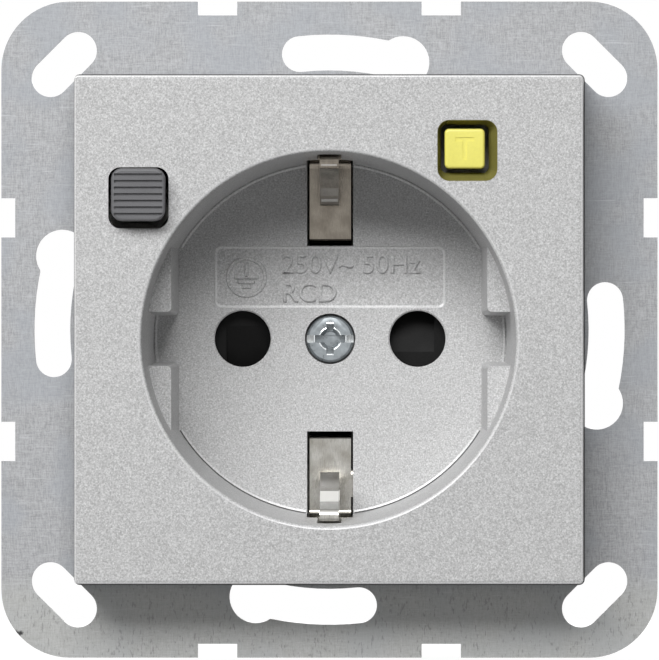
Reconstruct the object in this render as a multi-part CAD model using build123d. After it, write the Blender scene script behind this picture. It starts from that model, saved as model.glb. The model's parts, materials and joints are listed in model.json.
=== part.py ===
from build123d import *
import os
from math import cos, radians, sin

# Millimetres. X is right, Z is up and the front faces -Y, so depth grows towards the wall box.
# The origin is the centre of the support frame's rear face, which lies on the wall.

# Support frame, with slots for the screws of a wall box 60 mm between centres
frame_size = 71.0
frame_thickness = 1.2
frame_corner_radius = 7.4
edge_notch_width = 4.25
edge_notch_depth = 1.5
edge_notch_offset = 12.1
box_screw_circle_radius = 30.0
box_slot_width = 3.9
keyhole_radius = 2.85
keyhole_angle = 164.6
slot_sweep = 21.5
corner_slot_margin = 6.8
corner_slot_width = 4.1
corner_slot_travel = 4.2
frame_window_clearance = 0.9
frame_screw_offset = 22.3
frame_screw_reach = 0.6

# Cover, one moulding with the recess for the plug
cover_size = 55.0
cover_height = 8.8
cover_draft = 1.0
cover_corner_radius = 0.5
cover_edge_radius = 0.35
cover_wall = 1.8
cover_face_thickness = 2.0
rib_thickness = 1.0
rib_depth = 5.0
rib_angles = (0, 112, 180, 225, 250, 290, 315, 338)
socket_z = -1.0
recess_depth = 17.5
mouth_radius = 20.2
floor_radius = 19.15
mouth_edge_radius = 0.4
cup_wall = 1.7
floor_thickness = 1.8
guide_top_below_face = 7.0
guide_flat_top = 17.1
guide_flat_floor = 16.45
guide_gap_top = 5.85
guide_gap_floor = 5.06
guide_corner_radius = 0.5
window_width = 5.0
window_inner_radius = 10.05
window_top_below_face = 12.0
wall_notch_width = 2.6
wall_notch_top_below_face = 4.5
wall_notch_radius = 20.6
panel_width = 25.2
panel_pin_gap = 0.1
panel_window_overlap = 0.05
panel_corner_radius = 0.8
panel_depth = 0.28

# Plug: two round pins
pin_spacing = 19.0
pin_radius = 2.4
pin_length = 19.0
pin_hole_radius = 3.05
pin_hole_chamfer = 0.15

# Cover screw and the post that it passes through
screw_pocket_radius = 2.75
screw_head_radius = 2.55
screw_head_height = 1.8
screw_head_below_floor = 0.3
screw_radius = 1.5
screw_clearance = 0.2
screw_head_chamfer = 0.25
screw_slot_width = 0.8
screw_slot_depth = 0.9
post_radius = 4.0

# Buttons: centre, cap, opening and travel
reset_x = -20.5
reset_z = 14.2
reset_cap_width = 5.8
reset_cap_height = 5.7
reset_cap_radius = 1.2
reset_cap_rise = 0.33
reset_proud = 2.3
reset_cap_length = 6.7
reset_travel = 2.3
reset_stem_radius = 1.6
groove_count = 7
groove_pitch = 0.71
groove_width = 0.32
groove_depth = 0.3
opening_width = 6.5
opening_height = 6.6
opening_radius = 1.3
well_wall = 0.9
well_depth = 6.0
test_x = 14.95
test_z = 19.3
test_cap_width = 4.35
test_cap_height = 4.3
test_cap_radius = 0.5
test_cap_shift_x = -0.3
test_cap_shift_z = 0.2
test_below_face = 0.5
test_cap_length = 4.7
test_travel = 1.2
test_stem_radius = 1.3
test_pocket_depth = 2.4
test_pocket_floor_size = 5.2
cap_edge_radius = 0.3
stem_clearance = 0.12
snap_overhang = 0.2
snap_length = 1.2
snap_gap = 0.1
stem_guide_wall = 1.1

# Housing behind the frame, inside a box of 60 mm
housing_size = 50.0
housing_corner_radius = 15.5
housing_wall = 1.6
flange_thickness = 1.8
shoulder_height = 1.5
shoulder_corner_radius = 2.0
shoulder_clearance = 0.15
neck_clearance = 0.15
housing_edge_radius = 1.0
housing_back = 40.0
deck_thickness = 1.8
cup_clearance = 0.4
deck_hole_clearance = 0.2
deck_tab_clearance = 0.25
web_half_width = 0.7
web_fork_gap = 2.4
web_low = 7.0
web_collar_gap = 1.0
web_bridge_gap = 0.8
post_end_gap = 0.3
boss_radius = 2.3
boss_screw_radius = 1.25
boss_screw_head_radius = 2.1
boss_screw_head_height = 1.5
housing_screw_pocket = 3.0
housing_screw_front = 4.0
boss_upper_left = -11.5
boss_upper_right = 9.6
boss_upper_margin = 2.1
boss_corner_margin = 6.8
thread_clearance = 0.02
screw_hole_clearance = 0.15
screw_pocket_clearance = 0.3
screw_tip_gap = 0.5

# Earth bracket, one strap with a sprung clip at each end
strap_thickness = 0.8
strap_width = 4.5
strap_front = 14.4
strap_disc_radius = 5.5
strap_step_radius = 10.9
clip_floor_depth = 10.4
clip_rise_radius = 19.8
clip_shoulder_depth = 2.4
clip_top_depth = -4.9
clip_fold = 0.95
clip_crest_radius = 14.75
clip_crest_depth = 3.2
clip_tip_radius = 15.5
clip_tip_depth = 5.4
clip_bend = 0.9
clip_rise_bend = 1.3
clip_crest_bend = 1.0
clip_fold_ease = 0.02
clip_neck_margin = 1.2
tongue_width = 2.05
collar_radius = 2.6
collar_length = 2.2
earth_tab_left = 2.0
earth_tab_z = -15.0
earth_tab_foot = 3.2
earth_tab_end = 27.0
earth_tab_bend = 1.0

# Shutter
shutter_clearance = 0.3
shutter_thickness = 3.5
shutter_hub_radius = 6.0
shutter_radius = 13.0
shutter_half_angle = 21.5
shutter_bore_clearance = 0.1
ramp_ridge = 1.4
ramp_drop = 2.0
ramp_outer_radius = 11.3
shutter_spring_wire = 0.3
shutter_spring_radius = 4.9
shutter_spring_gap = 0.3
ramp_hub_gap = 0.4

# Pin contacts and the conductors through the transformer
fork_thickness = 0.7
fork_width = 6.0
fork_mouth_half_gap = 3.7
fork_base_half_gap = 3.1
fork_pinch_depth = 20.3
fork_deck_gap = 0.4
fork_lip_bend = 1.0
fork_base_bend = 0.8
fork_wall_half_width = 0.6
fork_wall_inset = 0.4
pin_end_gap = 0.35
tail_end_x = 1.4
tail_height = 3.2
tail_overlap = 1.0
conductor_radius = 0.9
conductor_x = 2.3
conductor_bend = 1.6
conductor_rear_gap = 0.3

# Residual current transformer
core_outer_radius = 7.8
core_inner_radius = 4.5
core_thickness = 6.0
winding_thickness = 0.7
winding_turns = 18
winding_arc = 300.0
winding_width = 1.1
winding_front_gap = 0.9
winding_core_gap = 0.05
core_post_radius = 1.2
core_post_x = 4.6
core_post_z = -4.2

# Contact bridge and fixed contacts
bridge_front = 18.7
bridge_thickness = 2.0
bridge_low = 8.0
bridge_high = 12.4
bridge_left = -21.8
bridge_right = 17.2
bridge_ear_width = 3.4
bridge_ear_top = 15.4
bridge_overlap = 0.5
bar_thickness = 0.8
bar_height = 3.2
bar_corner_radius = 0.6
bar_end_margin = 0.3
tip_radius = 1.2
tip_height = 0.7
contact_gap_left = 0.2
load_contact_x = 9.5
line_contact_x = 15.5
contact_thickness = 0.8
contact_parting = 0.6
contact_split_x = 12.6
line_plate_outer_x = 17.6
contact_wall_width = 2.4
contact_wall_margin = 0.4
line_fold_bend = 0.8
guide_post_radius = 1.5
guide_post_clearance = 0.15
guide_shoulder_radius = 2.4
guide_shoulder_depth = 33.0
bridge_spring_wire = 0.45
bridge_spring_radius = 2.05

# Latch and trip relay
latch_x = -3.5
latch_width = 3.2
latch_pivot_depth = 27.0
latch_pivot_above_relay = 2.6
latch_pin_radius = 1.0
latch_pin_length = 8.0
latch_pin_clearance = 0.05
latch_hub_radius = 1.9
latch_angle = 9.1
latch_reach = 0.7
latch_hook_thickness = 0.8
nose_height = 2.0
nose_thickness = 0.7
nose_setback = 0.3
latch_gap = 0.15
latch_side_gap = 0.1
latch_arm_below = 1.4
latch_arm_above = 1.2
latch_arm_tip_above = 0.6
latch_tail_width = 1.4
latch_tail_below = 1.2
latch_ramp = 0.6
ear_thickness = 1.5
ear_gap = 0.25
ear_half_depth = 2.2
ear_drop = 2.0
relay_width = 9.0
relay_height = 7.0
relay_front_gap = 3.6
relay_back_gap = 0.6
relay_top_gap = 3.0
yoke_thickness = 1.0
spool_flange = 0.5
relay_shelf_setback = 1.0
coil_radius = 2.4
plunger_radius = 1.0
plunger_clearance = 0.1
plunger_lever_gap = 0.2
plunger_end_gap = 1.6
latch_spring_wire = 0.3
latch_spring_radius = 1.1
latch_spring_reach = 4.0
latch_spring_seat = 1.3

# Terminals: a cage clamp on a contact's leaf, closed by a screw
leaf_x = 15.0
terminal_depth = 31.0
earth_terminal_x = 5.8
earth_terminal_depth = 22.5
leaf_width = 7.6
leaf_end = 34.5
cage_wall = 0.9
cage_depth = 6.0
cage_room = 5.6
cage_back = 0.6
cage_corner_radius = 0.6
cage_leaf_play = 0.4
terminal_screw_radius = 1.75
terminal_head_radius = 3.1
terminal_head_height = 2.2
terminal_screw_tip = 1.6
terminal_screw_head_at = 7.3
terminal_hole_clearance = 0.3
terminal_slot_width = 0.9
terminal_slot_depth = 1.0
wire_hole_radius = 1.7
wire_hole_spacing = 4.4
wire_hole_leaf_gap = 0.2

# Test contact and circuit board
test_leaf_thickness = 0.4
test_leaf_width = 2.9
test_leaf_low = 13.8
test_leaf_gap = 0.3
test_post_height = 2.4
board_left = -15.0
board_right = 0.0
board_height = 9.4
board_wall_gap = 1.6
board_front = 20.0
board_thickness = 1.4
board_post_radius = 1.3
board_post_margin_x = 2.3
board_post_margin_z = 2.2
lead_radius = 0.3
lead_bend = 0.5
board_corner_radius = 0.8
part_board_gap = 0.3
resistor_radius = 1.1
resistor_length = 6.0
resistor_x = -4.2
resistor_below_top = 1.6
resistor_lead_span = 7.6
diode_radius = 0.8
diode_length = 3.6
diode_x = -11.2
diode_below_top = 1.2
diode_lead_span = 5.2
varistor_radius = 3.2
varistor_thickness = 2.6
varistor_edge_gap = 1.0
varistor_above_low = 3.6
varistor_edge_radius = 0.8
varistor_lead_half_gap = 1.2
capacitor_x = -4.2
capacitor_above_low = 2.9
capacitor_width = 7.2
capacitor_height = 4.2
capacitor_depth = 6.0
capacitor_corner_radius = 0.4

# Return springs
reset_spring_wire = 0.45
reset_spring_radius = 2.25
test_spring_wire = 0.35
test_spring_radius = 1.8
spring_seat_depth = 3.0
spring_seat_clearance = 0.25

# Cutters reach this far past what they cut, and picked edges lie this close to where they should
overcut = 1.0
nearby = 0.2

# Depths that follow from the sizes above
frame_front = -frame_thickness
cover_front = frame_front - cover_height
floor_front = cover_front + recess_depth
shoulder_front = frame_front - shoulder_height
flange_back = shoulder_front + flange_thickness
floor_back = floor_front + floor_thickness
deck_front = strap_front + strap_thickness
deck_back = deck_front + deck_thickness
housing_inner_back = housing_back - housing_wall
housing_inner_size = housing_size - 2 * housing_wall
housing_inner_radius = housing_corner_radius - housing_wall
housing_inner_half = housing_inner_size / 2
relay_front = latch_pivot_depth + relay_front_gap
relay_back = housing_inner_back - relay_back_gap
relay_z = housing_inner_half - relay_top_gap - relay_height / 2
latch_pivot_z = relay_z + latch_pivot_above_relay
latch_spring_depth = latch_pivot_depth - latch_spring_reach
board_low = board_wall_gap - housing_inner_half
board_high = board_low + board_height
panel_low = pin_hole_radius + pin_hole_chamfer + panel_pin_gap
panel_high = window_inner_radius + panel_window_overlap
shutter_front = floor_back + shutter_clearance
shutter_back = shutter_front + shutter_thickness
screw_seat = floor_front + screw_head_below_floor + screw_head_height
fork_base = floor_front + pin_length + pin_end_gap + fork_thickness / 2
winding_front = fork_base + fork_thickness / 2 + winding_front_gap
core_front = winding_front + winding_thickness
core_back = core_front + core_thickness
winding_back = core_back + winding_thickness
conductor_turn = housing_inner_back - conductor_rear_gap - conductor_radius
bridge_back = bridge_front + bridge_thickness
bridge_z = (bridge_low + bridge_high) / 2
bar_back = bridge_back + bar_thickness
tip_back = bar_back + tip_height
fixed_tip_front = tip_back + reset_travel + contact_gap_left
contact_front = fixed_tip_front + tip_height
contact_back = contact_front + contact_thickness
reset_front = cover_front - reset_proud
reset_cap_back = reset_front + reset_cap_length
test_front = cover_front + test_below_face
spring_seat = shoulder_front + spring_seat_depth
test_cap_back = test_front + test_cap_length
test_leaf_front = deck_back + snap_length + snap_overhang + test_travel + test_leaf_gap
reset_cap_z = reset_z + reset_cap_rise
test_cap_x = test_x + test_cap_shift_x
test_cap_z = test_z + test_cap_shift_z
cage_width = leaf_width + 2 * cage_wall + cage_leaf_play
pins = (-pin_spacing / 2, pin_spacing / 2)


def layer(profile, front, back, taper=0):
    """A profile drawn in X and Z, made solid from depth front to depth back."""
    return extrude(Plane.XZ.offset(-back) * profile, amount=back - front, taper=taper)


def upright(profile, low, high):
    """A profile drawn in X and depth, made solid from height low to height high."""
    return extrude(Plane.XY.offset(low) * profile, amount=high - low)


def sideways(profile, left, right):
    """A profile drawn in depth and Z, made solid from left to right."""
    return extrude(Plane.YZ.offset(left) * profile, amount=right - left)


def outline(*points):
    """A closed face through the given points."""
    return make_face(Polyline(*points, close=True))


def turned(points, x=0.0, z=0.0):
    """A profile of (radius, depth) points turned about an axis along Y."""
    profile = Pos(x, 0, z) * outline(*points)
    return revolve(profile, axis=Axis((x, 0, z), (0, 1, 0)))


def rod(radius, front, back, x=0.0, z=0.0):
    """A round rod along Y."""
    return layer(Pos(x, z) * Circle(radius), front, back)


def block(left, right, front, back, low, high):
    """A plain rectangular stretch of material."""
    middle = Pos((left + right) / 2, (low + high) / 2)
    return layer(middle * Rectangle(right - left, high - low), front, back)


def spring(wire, radius, turns, start, direction, length):
    """A compression spring from its start point along a direction."""
    path = Helix(length / turns, length, radius, center=start, direction=direction)
    section = Plane(origin=path @ 0, z_dir=path % 0) * Circle(wire / 2)
    return sweep(section, path=path, is_frenet=True)


def mirrored(shape):
    """The same shape on the other side of the middle."""
    return mirror(shape, about=Plane.YZ)


def cup_radius(depth):
    """Inner radius of the recess at a depth."""
    return mouth_radius - (depth - cover_front) * (mouth_radius - floor_radius) / recess_depth


def cup_body():
    """Outer cone of the recess, closed at its floor."""
    start = cover_front + cover_face_thickness / 2
    points = [
        (0, start),
        (cup_radius(start) + cup_wall, start),
        (cup_radius(floor_back) + cup_wall, floor_back),
        (0, floor_back),
    ]
    return turned(points, z=socket_z)


def cup_space():
    """Space inside the recess, open to the front."""
    points = [
        (0, cover_front - overcut),
        (cup_radius(cover_front - overcut), cover_front - overcut),
        (floor_radius, floor_front),
        (0, floor_front),
    ]
    return turned(points, z=socket_z)


def guide_blocks():
    """Four blocks at the sides of the recess, which stop the plug from turning."""
    top = cover_front + guide_top_below_face
    reach = mouth_radius + cup_wall / 2
    section = outline(
        (guide_flat_floor, floor_front),
        (guide_flat_top, top),
        (reach, top),
        (reach, floor_front),
    )
    gap = outline(
        (floor_front, -guide_gap_floor / 2),
        (top, -guide_gap_top / 2),
        (top, guide_gap_top / 2),
        (floor_front, guide_gap_floor / 2),
    )
    right = upright(section, socket_z - floor_radius, socket_z + floor_radius) & cup_body()
    right -= Pos(0, 0, socket_z) * sideways(gap, guide_flat_floor - overcut, reach + cup_wall)
    flat = (guide_flat_floor + guide_flat_top) / 2
    corners = right.edges().filter_by(lambda e: abs(e.center().X - flat) < nearby)
    corners = corners.filter_by(lambda e: abs(e.center().Z - socket_z) < guide_gap_top / 2 + nearby)
    corners = corners.filter_by(lambda e: e.length > guide_top_below_face)
    right = fillet(corners, guide_corner_radius)
    return right + mirrored(right)


def clip_openings():
    """Floor windows and wall notches for the two earth clips."""
    cuts = []
    middle = (window_inner_radius + floor_radius + 2 * cup_wall) / 2
    length = floor_radius + 2 * cup_wall - window_inner_radius
    notch_middle = (guide_flat_floor + wall_notch_radius) / 2
    for side in (1, -1):
        window = Pos(0, socket_z + side * middle) * Rectangle(window_width, length)
        cuts.append(layer(window, cover_front + window_top_below_face, floor_back + overcut))
        notch = Pos(0, socket_z + side * notch_middle) * Rectangle(
            wall_notch_width, wall_notch_radius - guide_flat_floor
        )
        notch_front = cover_front + wall_notch_top_below_face
        cuts.append(layer(notch, notch_front, cover_front + window_top_below_face + overcut))
    return cuts


def button_wells(outside):
    """Walls and openings of the two buttons."""
    well = Rectangle(opening_width + 2 * well_wall, opening_height + 2 * well_wall)
    opening = RectangleRounded(opening_width, opening_height, opening_radius)
    start = cover_front + cover_face_thickness / 2
    walls = layer(Pos(reset_x, reset_z) * well, start, cover_front + well_depth)
    walls += layer(Pos(test_x, test_z) * well, start, cover_front + well_depth)
    walls &= outside
    reset_cut = layer(Pos(reset_x, reset_z) * opening, cover_front - overcut, frame_front)
    pocket_floor = cover_front + test_pocket_depth
    front_face = Plane.XZ.offset(-cover_front) * Pos(test_x, test_z) * opening
    floor_shape = RectangleRounded(test_pocket_floor_size, test_pocket_floor_size, opening_radius / 2)
    floor_face = Plane.XZ.offset(-pocket_floor) * Pos(test_cap_x, test_cap_z) * floor_shape
    test_cut = loft([front_face.face(), floor_face.face()])
    test_cut += layer(Pos(test_cap_x, test_cap_z) * floor_shape, pocket_floor, frame_front)
    return walls, [reset_cut, test_cut]


def front_cover():
    """The square cover with the recess, hollow behind its face."""
    square = RectangleRounded(cover_size, cover_size, cover_corner_radius)
    outside = layer(square, cover_front, frame_front, taper=cover_draft)
    cover = fillet(outside.faces().sort_by(Axis.Y)[0].edges(), cover_edge_radius)
    inner_size = cover_size - 2 * cover_wall
    inner = RectangleRounded(inner_size, inner_size, cover_corner_radius)
    cover -= layer(inner, cover_front + cover_face_thickness, frame_front, taper=cover_draft)
    for angle in rib_angles:
        direction = Rot(0, 0, angle) * Pos(floor_radius + housing_size / 4, 0)
        rib = direction * Rectangle(housing_size / 2, rib_thickness)
        rib = layer(Pos(0, socket_z) * rib, cover_front + cover_face_thickness / 2, cover_front + rib_depth)
        cover += rib & outside
    walls, openings = button_wells(outside)
    cover += walls
    cover += cup_body()
    cover += rod(post_radius, floor_front, strap_front, z=socket_z)
    cover -= cup_space()
    cover += guide_blocks()
    for cut in clip_openings() + openings:
        cover -= cut
    panel = Pos(0, socket_z + (panel_low + panel_high) / 2) * RectangleRounded(
        panel_width, panel_high - panel_low, panel_corner_radius
    )
    cover -= layer(panel, floor_front - overcut, floor_front + panel_depth)
    pin_hole = [
        (0, floor_front - overcut),
        (pin_hole_radius + pin_hole_chamfer, floor_front - overcut),
        (pin_hole_radius + pin_hole_chamfer, floor_front),
        (pin_hole_radius, floor_front + pin_hole_chamfer),
        (pin_hole_radius, floor_back + overcut),
        (0, floor_back + overcut),
    ]
    for x in pins:
        cover -= turned(pin_hole, x, socket_z)
    cover -= rod(screw_pocket_radius, floor_front - overcut, screw_seat, z=socket_z)
    cover -= rod(screw_radius + screw_clearance, floor_front, strap_front + overcut, z=socket_z)
    mouth = cover.edges().filter_by(GeomType.CIRCLE)
    mouth = mouth.filter_by(lambda e: abs(e.radius - mouth_radius) < mouth_edge_radius / 2)
    mouth = mouth.filter_by(lambda e: abs(e.center().Y - cover_front) < mouth_edge_radius / 2)
    return fillet(mouth, mouth_edge_radius)


def cover_screw():
    """Machine screw with a slot across its head."""
    head_front = screw_seat - screw_head_height
    screw = rod(screw_head_radius, head_front, screw_seat, z=socket_z)
    screw = chamfer(screw.faces().sort_by(Axis.Y)[0].edges(), screw_head_chamfer)
    screw += rod(screw_radius, screw_seat, deck_front + collar_length, z=socket_z)
    slot = Pos(0, socket_z) * Rectangle(2 * screw_head_radius, screw_slot_width)
    return screw - layer(slot, head_front - overcut, head_front + screw_slot_depth)


def box_slots():
    """Curved slots for the wall box screws, each with a keyhole."""
    arc = CenterArc((0, 0), box_screw_circle_radius, keyhole_angle, slot_sweep)
    hole_x = box_screw_circle_radius * cos(radians(keyhole_angle))
    hole_z = box_screw_circle_radius * sin(radians(keyhole_angle))
    one = SlotArc(arc, box_slot_width) + Pos(hole_x, hole_z) * Circle(keyhole_radius)
    return [Rot(0, 0, quarter * 90) * one for quarter in range(4)]


def support_frame():
    """Square frame of sheet steel."""
    sheet = RectangleRounded(frame_size, frame_size, frame_corner_radius)
    edge = frame_size / 2
    for quarter in range(4):
        turn = Rot(0, 0, quarter * 90)
        for offset in (-edge_notch_offset, edge_notch_offset):
            sheet -= turn * Pos(edge, offset) * Rectangle(2 * edge_notch_depth, edge_notch_width)
        corner = Pos(edge - corner_slot_margin, edge - corner_slot_margin) * Rot(0, 0, 135)
        sheet -= turn * corner * SlotCenterToCenter(corner_slot_travel, corner_slot_width)
    for slot in box_slots():
        sheet -= slot
    opening = housing_size + 2 * neck_clearance
    sheet -= RectangleRounded(opening, opening, housing_corner_radius + neck_clearance)
    for x, z in ((reset_x, reset_z), (test_x, test_z)):
        width = opening_width + 2 * frame_window_clearance
        sheet -= Pos(x, z) * RectangleRounded(width, width, opening_radius)
    for x, z in frame_screw_places():
        sheet -= Pos(x, z) * Circle(boss_screw_radius + thread_clearance)
    return layer(sheet, frame_front, 0)


def frame_screw_places():
    """Centres of the four screws at the corners of the shoulder."""
    sides = (-frame_screw_offset, frame_screw_offset)
    return [(x, z) for x in sides for z in sides]


def frame_screws():
    """Pan head screws through the housing's shoulder into the frame."""
    group = []
    for x, z in frame_screw_places():
        screw = rod(boss_screw_head_radius, shoulder_front - boss_screw_head_height, shoulder_front, x, z)
        screw = fillet(screw.faces().sort_by(Axis.Y)[0].edges(), boss_screw_head_height / 2)
        group.append(screw + rod(boss_screw_radius, shoulder_front, frame_screw_reach, x, z))
    return Compound(children=group)


def housing_screw_places():
    """Centres of the four screws that hold the shells together."""
    upper = housing_inner_half - boss_upper_margin
    corner = housing_size / 2 - boss_corner_margin
    return [(boss_upper_left, upper), (boss_upper_right, upper), (corner, -corner), (-corner, -corner)]


def board_posts():
    """Centres of the two posts under the circuit board."""
    return [
        (board_left + board_post_margin_x, board_low + board_post_margin_z),
        (board_right - board_post_margin_x, board_high - board_post_margin_z),
    ]


def housing_outline(size, radius):
    """Rounded square of the housing."""
    return RectangleRounded(size, size, radius)


def button_guides():
    """Place, stem radius and spring seat radius of both buttons."""
    reset_seat = reset_spring_radius + reset_spring_wire / 2 + spring_seat_clearance
    test_seat = test_spring_radius + test_spring_wire / 2 + spring_seat_clearance
    return [
        (reset_x, reset_z, reset_stem_radius, reset_seat),
        (test_cap_x, test_cap_z, test_stem_radius, test_seat),
    ]


def front_housing():
    """Carrier moulding: shoulder, neck through the frame, deck, stem guides and screw bosses."""
    before = shoulder_front - overcut
    beyond = deck_back + overcut
    shoulder_size = cover_size - 2 * cover_wall - 2 * shoulder_clearance
    housing = layer(housing_outline(shoulder_size, shoulder_corner_radius), shoulder_front, frame_front)
    housing += layer(housing_outline(housing_size, housing_corner_radius), frame_front, deck_back)
    hollow = housing_outline(housing_inner_size, housing_inner_radius)
    inside = layer(hollow, flange_back, deck_front)
    housing -= inside
    mouth = cup_radius(shoulder_front) + cup_wall + cup_clearance
    housing -= rod(mouth, before, flange_back, z=socket_z)
    for x, z in frame_screw_places():
        housing -= rod(boss_screw_radius + screw_hole_clearance, before, frame_front + overcut, x, z)
    for x, z in housing_screw_places():
        housing += rod(boss_radius, flange_back, deck_front, x, z) & inside
    for x, z, stem, seat in button_guides():
        housing += rod(stem + stem_clearance + stem_guide_wall, flange_back, deck_front, x, z) & inside
        housing -= rod(stem + stem_clearance, before, beyond, x, z)
        housing -= rod(seat, before, spring_seat, x, z)
    for x, z in housing_screw_places():
        housing -= rod(boss_screw_radius + thread_clearance, housing_screw_front, beyond, x, z)
    for x in pins:
        housing -= rod(pin_hole_radius + deck_hole_clearance, deck_front - overcut, beyond, x, socket_z)
    housing -= rod(collar_radius + deck_hole_clearance, deck_front - overcut, beyond, z=socket_z)
    housing -= block(
        earth_tab_left - deck_tab_clearance,
        earth_terminal_x + leaf_width / 2 + deck_tab_clearance,
        deck_front - overcut,
        beyond,
        earth_tab_z - strap_thickness / 2 - deck_tab_clearance,
        earth_tab_z + strap_thickness / 2 + deck_tab_clearance,
    )
    upper = (socket_z + collar_radius + web_collar_gap, bridge_low - web_bridge_gap)
    lower = (socket_z - web_low, socket_z - collar_radius - web_collar_gap)
    for low, high in (upper, lower):
        housing += block(-web_half_width, web_half_width, deck_back, fork_base - web_fork_gap, low, high)
    for x, z in board_posts():
        housing += rod(board_post_radius, deck_back, board_front, x, z)
    housing += block(
        test_x - test_leaf_width / 2,
        test_x + test_leaf_width / 2,
        deck_back,
        test_leaf_front,
        test_leaf_low,
        test_leaf_low + test_post_height,
    )
    return housing


def rear_housing():
    """Rear shell with posts and walls that carry the works."""
    housing = layer(housing_outline(housing_size, housing_corner_radius), deck_back, housing_back)
    housing = fillet(housing.faces().sort_by(Axis.Y)[-1].edges(), housing_edge_radius)
    hollow = housing_outline(housing_inner_size, housing_inner_radius)
    inside = layer(hollow, deck_back, housing_inner_back)
    housing -= inside
    before = housing_inner_back - overcut
    beyond = housing_back + overcut
    pocket = boss_screw_head_radius + screw_pocket_clearance
    for x, z in housing_screw_places():
        housing += rod(boss_radius, deck_back, housing_inner_back, x, z) & inside
        housing -= rod(boss_screw_radius + screw_hole_clearance, deck_back - overcut, beyond, x, z)
        housing -= rod(pocket, housing_back - housing_screw_pocket, beyond, x, z)
    housing += rod(guide_post_radius, deck_back + post_end_gap, housing_inner_back, 0, bridge_z)
    housing += rod(guide_shoulder_radius, guide_shoulder_depth, housing_inner_back, 0, bridge_z)
    driver_hole = Cylinder(terminal_head_radius + terminal_hole_clearance, 4 * housing_wall)
    wire_offset = cage_room / 2 + wire_hole_leaf_gap
    for side in (-1, 1):
        post_z = socket_z + core_post_z
        housing += rod(core_post_radius, winding_back, housing_inner_back, side * core_post_x, post_z)
        wall_half = contact_wall_width / 2
        housing += block(
            side * contact_split_x - wall_half,
            side * contact_split_x + wall_half,
            contact_back,
            housing_inner_back,
            bridge_low - contact_wall_margin,
            bridge_high + contact_wall_margin,
        )
        fork_wall = side * (pin_spacing / 2 + fork_width / 2 - fork_wall_inset)
        housing += block(
            fork_wall - fork_wall_half_width,
            fork_wall + fork_wall_half_width,
            fork_base + fork_thickness / 2,
            housing_inner_back,
            socket_z - fork_base_half_gap,
            socket_z + fork_base_half_gap,
        )
        for half in (-1, 1):
            x = side * (leaf_x + wire_offset)
            housing -= rod(wire_hole_radius, before, beyond, x, socket_z + half * wire_hole_spacing / 2)
        x = earth_terminal_x + side * wire_hole_spacing / 2
        housing -= rod(wire_hole_radius, before, beyond, x, earth_tab_z - wire_offset)
        housing -= Pos(side * housing_size / 2, terminal_depth, socket_z) * Rot(0, 90, 0) * driver_hole
    housing -= Pos(earth_terminal_x, earth_terminal_depth, -housing_size / 2) * driver_hole
    ear_inner = latch_width / 2 + ear_gap
    for start in (latch_x - ear_inner - ear_thickness, latch_x + ear_inner):
        ear = block(
            start,
            start + ear_thickness,
            latch_pivot_depth - ear_half_depth,
            latch_pivot_depth + ear_half_depth,
            latch_pivot_z - ear_drop,
            housing_inner_half,
        )
        hole = Pos(latch_pivot_depth, latch_pivot_z) * Circle(latch_pin_radius + thread_clearance)
        housing += ear - sideways(hole, start - overcut, start + ear_thickness + overcut)
    shelf_low = relay_z + relay_height / 2
    housing += block(
        latch_x - relay_width / 2,
        latch_x + relay_width / 2,
        relay_front + relay_shelf_setback,
        housing_inner_back,
        shelf_low,
        housing_inner_half,
    )
    return housing


def housing_screws():
    """Long screws from the rear shell into the front housing."""
    seat = housing_back - housing_screw_pocket
    group = []
    for x, z in housing_screw_places():
        screw = rod(boss_screw_head_radius, seat, seat + boss_screw_head_height, x, z)
        screw = fillet(screw.faces().sort_by(Axis.Y)[-1].edges(), boss_screw_head_height / 2)
        group.append(screw + rod(boss_screw_radius, housing_screw_front + screw_tip_gap, seat, x, z))
    return Compound(children=group)


def clip_line():
    """Middle line of the strap from the screw to the tip of one clip, in depth and radius."""
    strap_middle = strap_front + strap_thickness / 2
    points = [
        (strap_middle, 0),
        (strap_middle, strap_step_radius),
        (clip_floor_depth, strap_step_radius),
        (clip_floor_depth, clip_rise_radius),
        (clip_top_depth, clip_rise_radius),
        (clip_top_depth, clip_rise_radius - clip_fold),
        (clip_crest_depth, clip_crest_radius),
        (clip_tip_depth, clip_tip_radius),
    ]
    tight = clip_fold / 2 - clip_fold_ease
    bends = [clip_bend, clip_bend, clip_rise_bend, tight, tight, clip_crest_bend]
    return FilletPolyline(*points, radius=bends)


def earth_clip():
    """One half of the strap, with its clip pointing up."""
    half = strap_width / 2
    clip = sideways(trace(clip_line(), strap_thickness), -half, half)
    inner = clip_crest_radius - 2 * overcut
    room = clip_rise_radius - clip_neck_margin
    beyond = clip_rise_radius + 2 * overcut
    before = clip_top_depth - 2 * overcut
    neck = clip_floor_depth - clip_neck_margin
    beside = outline(
        (before, inner),
        (neck, inner),
        (neck, room),
        (clip_shoulder_depth, room),
        (clip_shoulder_depth, beyond),
        (before, beyond),
    )
    clip -= sideways(beside, tongue_width / 2, half + overcut)
    clip -= sideways(beside, -half - overcut, -tongue_width / 2)
    return clip


def earth_bracket():
    """The strap with both clips, the threaded collar and the terminal tongue."""
    clip = earth_clip()
    bracket = Pos(0, 0, socket_z) * (clip + mirror(clip, about=Plane.XY))
    bracket += rod(strap_disc_radius, strap_front, deck_front, z=socket_z)
    bracket += rod(collar_radius, strap_front, deck_front + collar_length, z=socket_z)
    tongue = FilletPolyline(
        (clip_floor_depth, earth_tab_z - earth_tab_foot),
        (clip_floor_depth, earth_tab_z),
        (earth_tab_end, earth_tab_z),
        radius=earth_tab_bend,
    )
    bracket += sideways(trace(tongue, strap_thickness), earth_tab_left, earth_terminal_x + leaf_width / 2)
    thread_end = deck_front + collar_length + overcut
    return bracket - rod(screw_radius + thread_clearance, strap_front - overcut, thread_end, z=socket_z)


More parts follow.
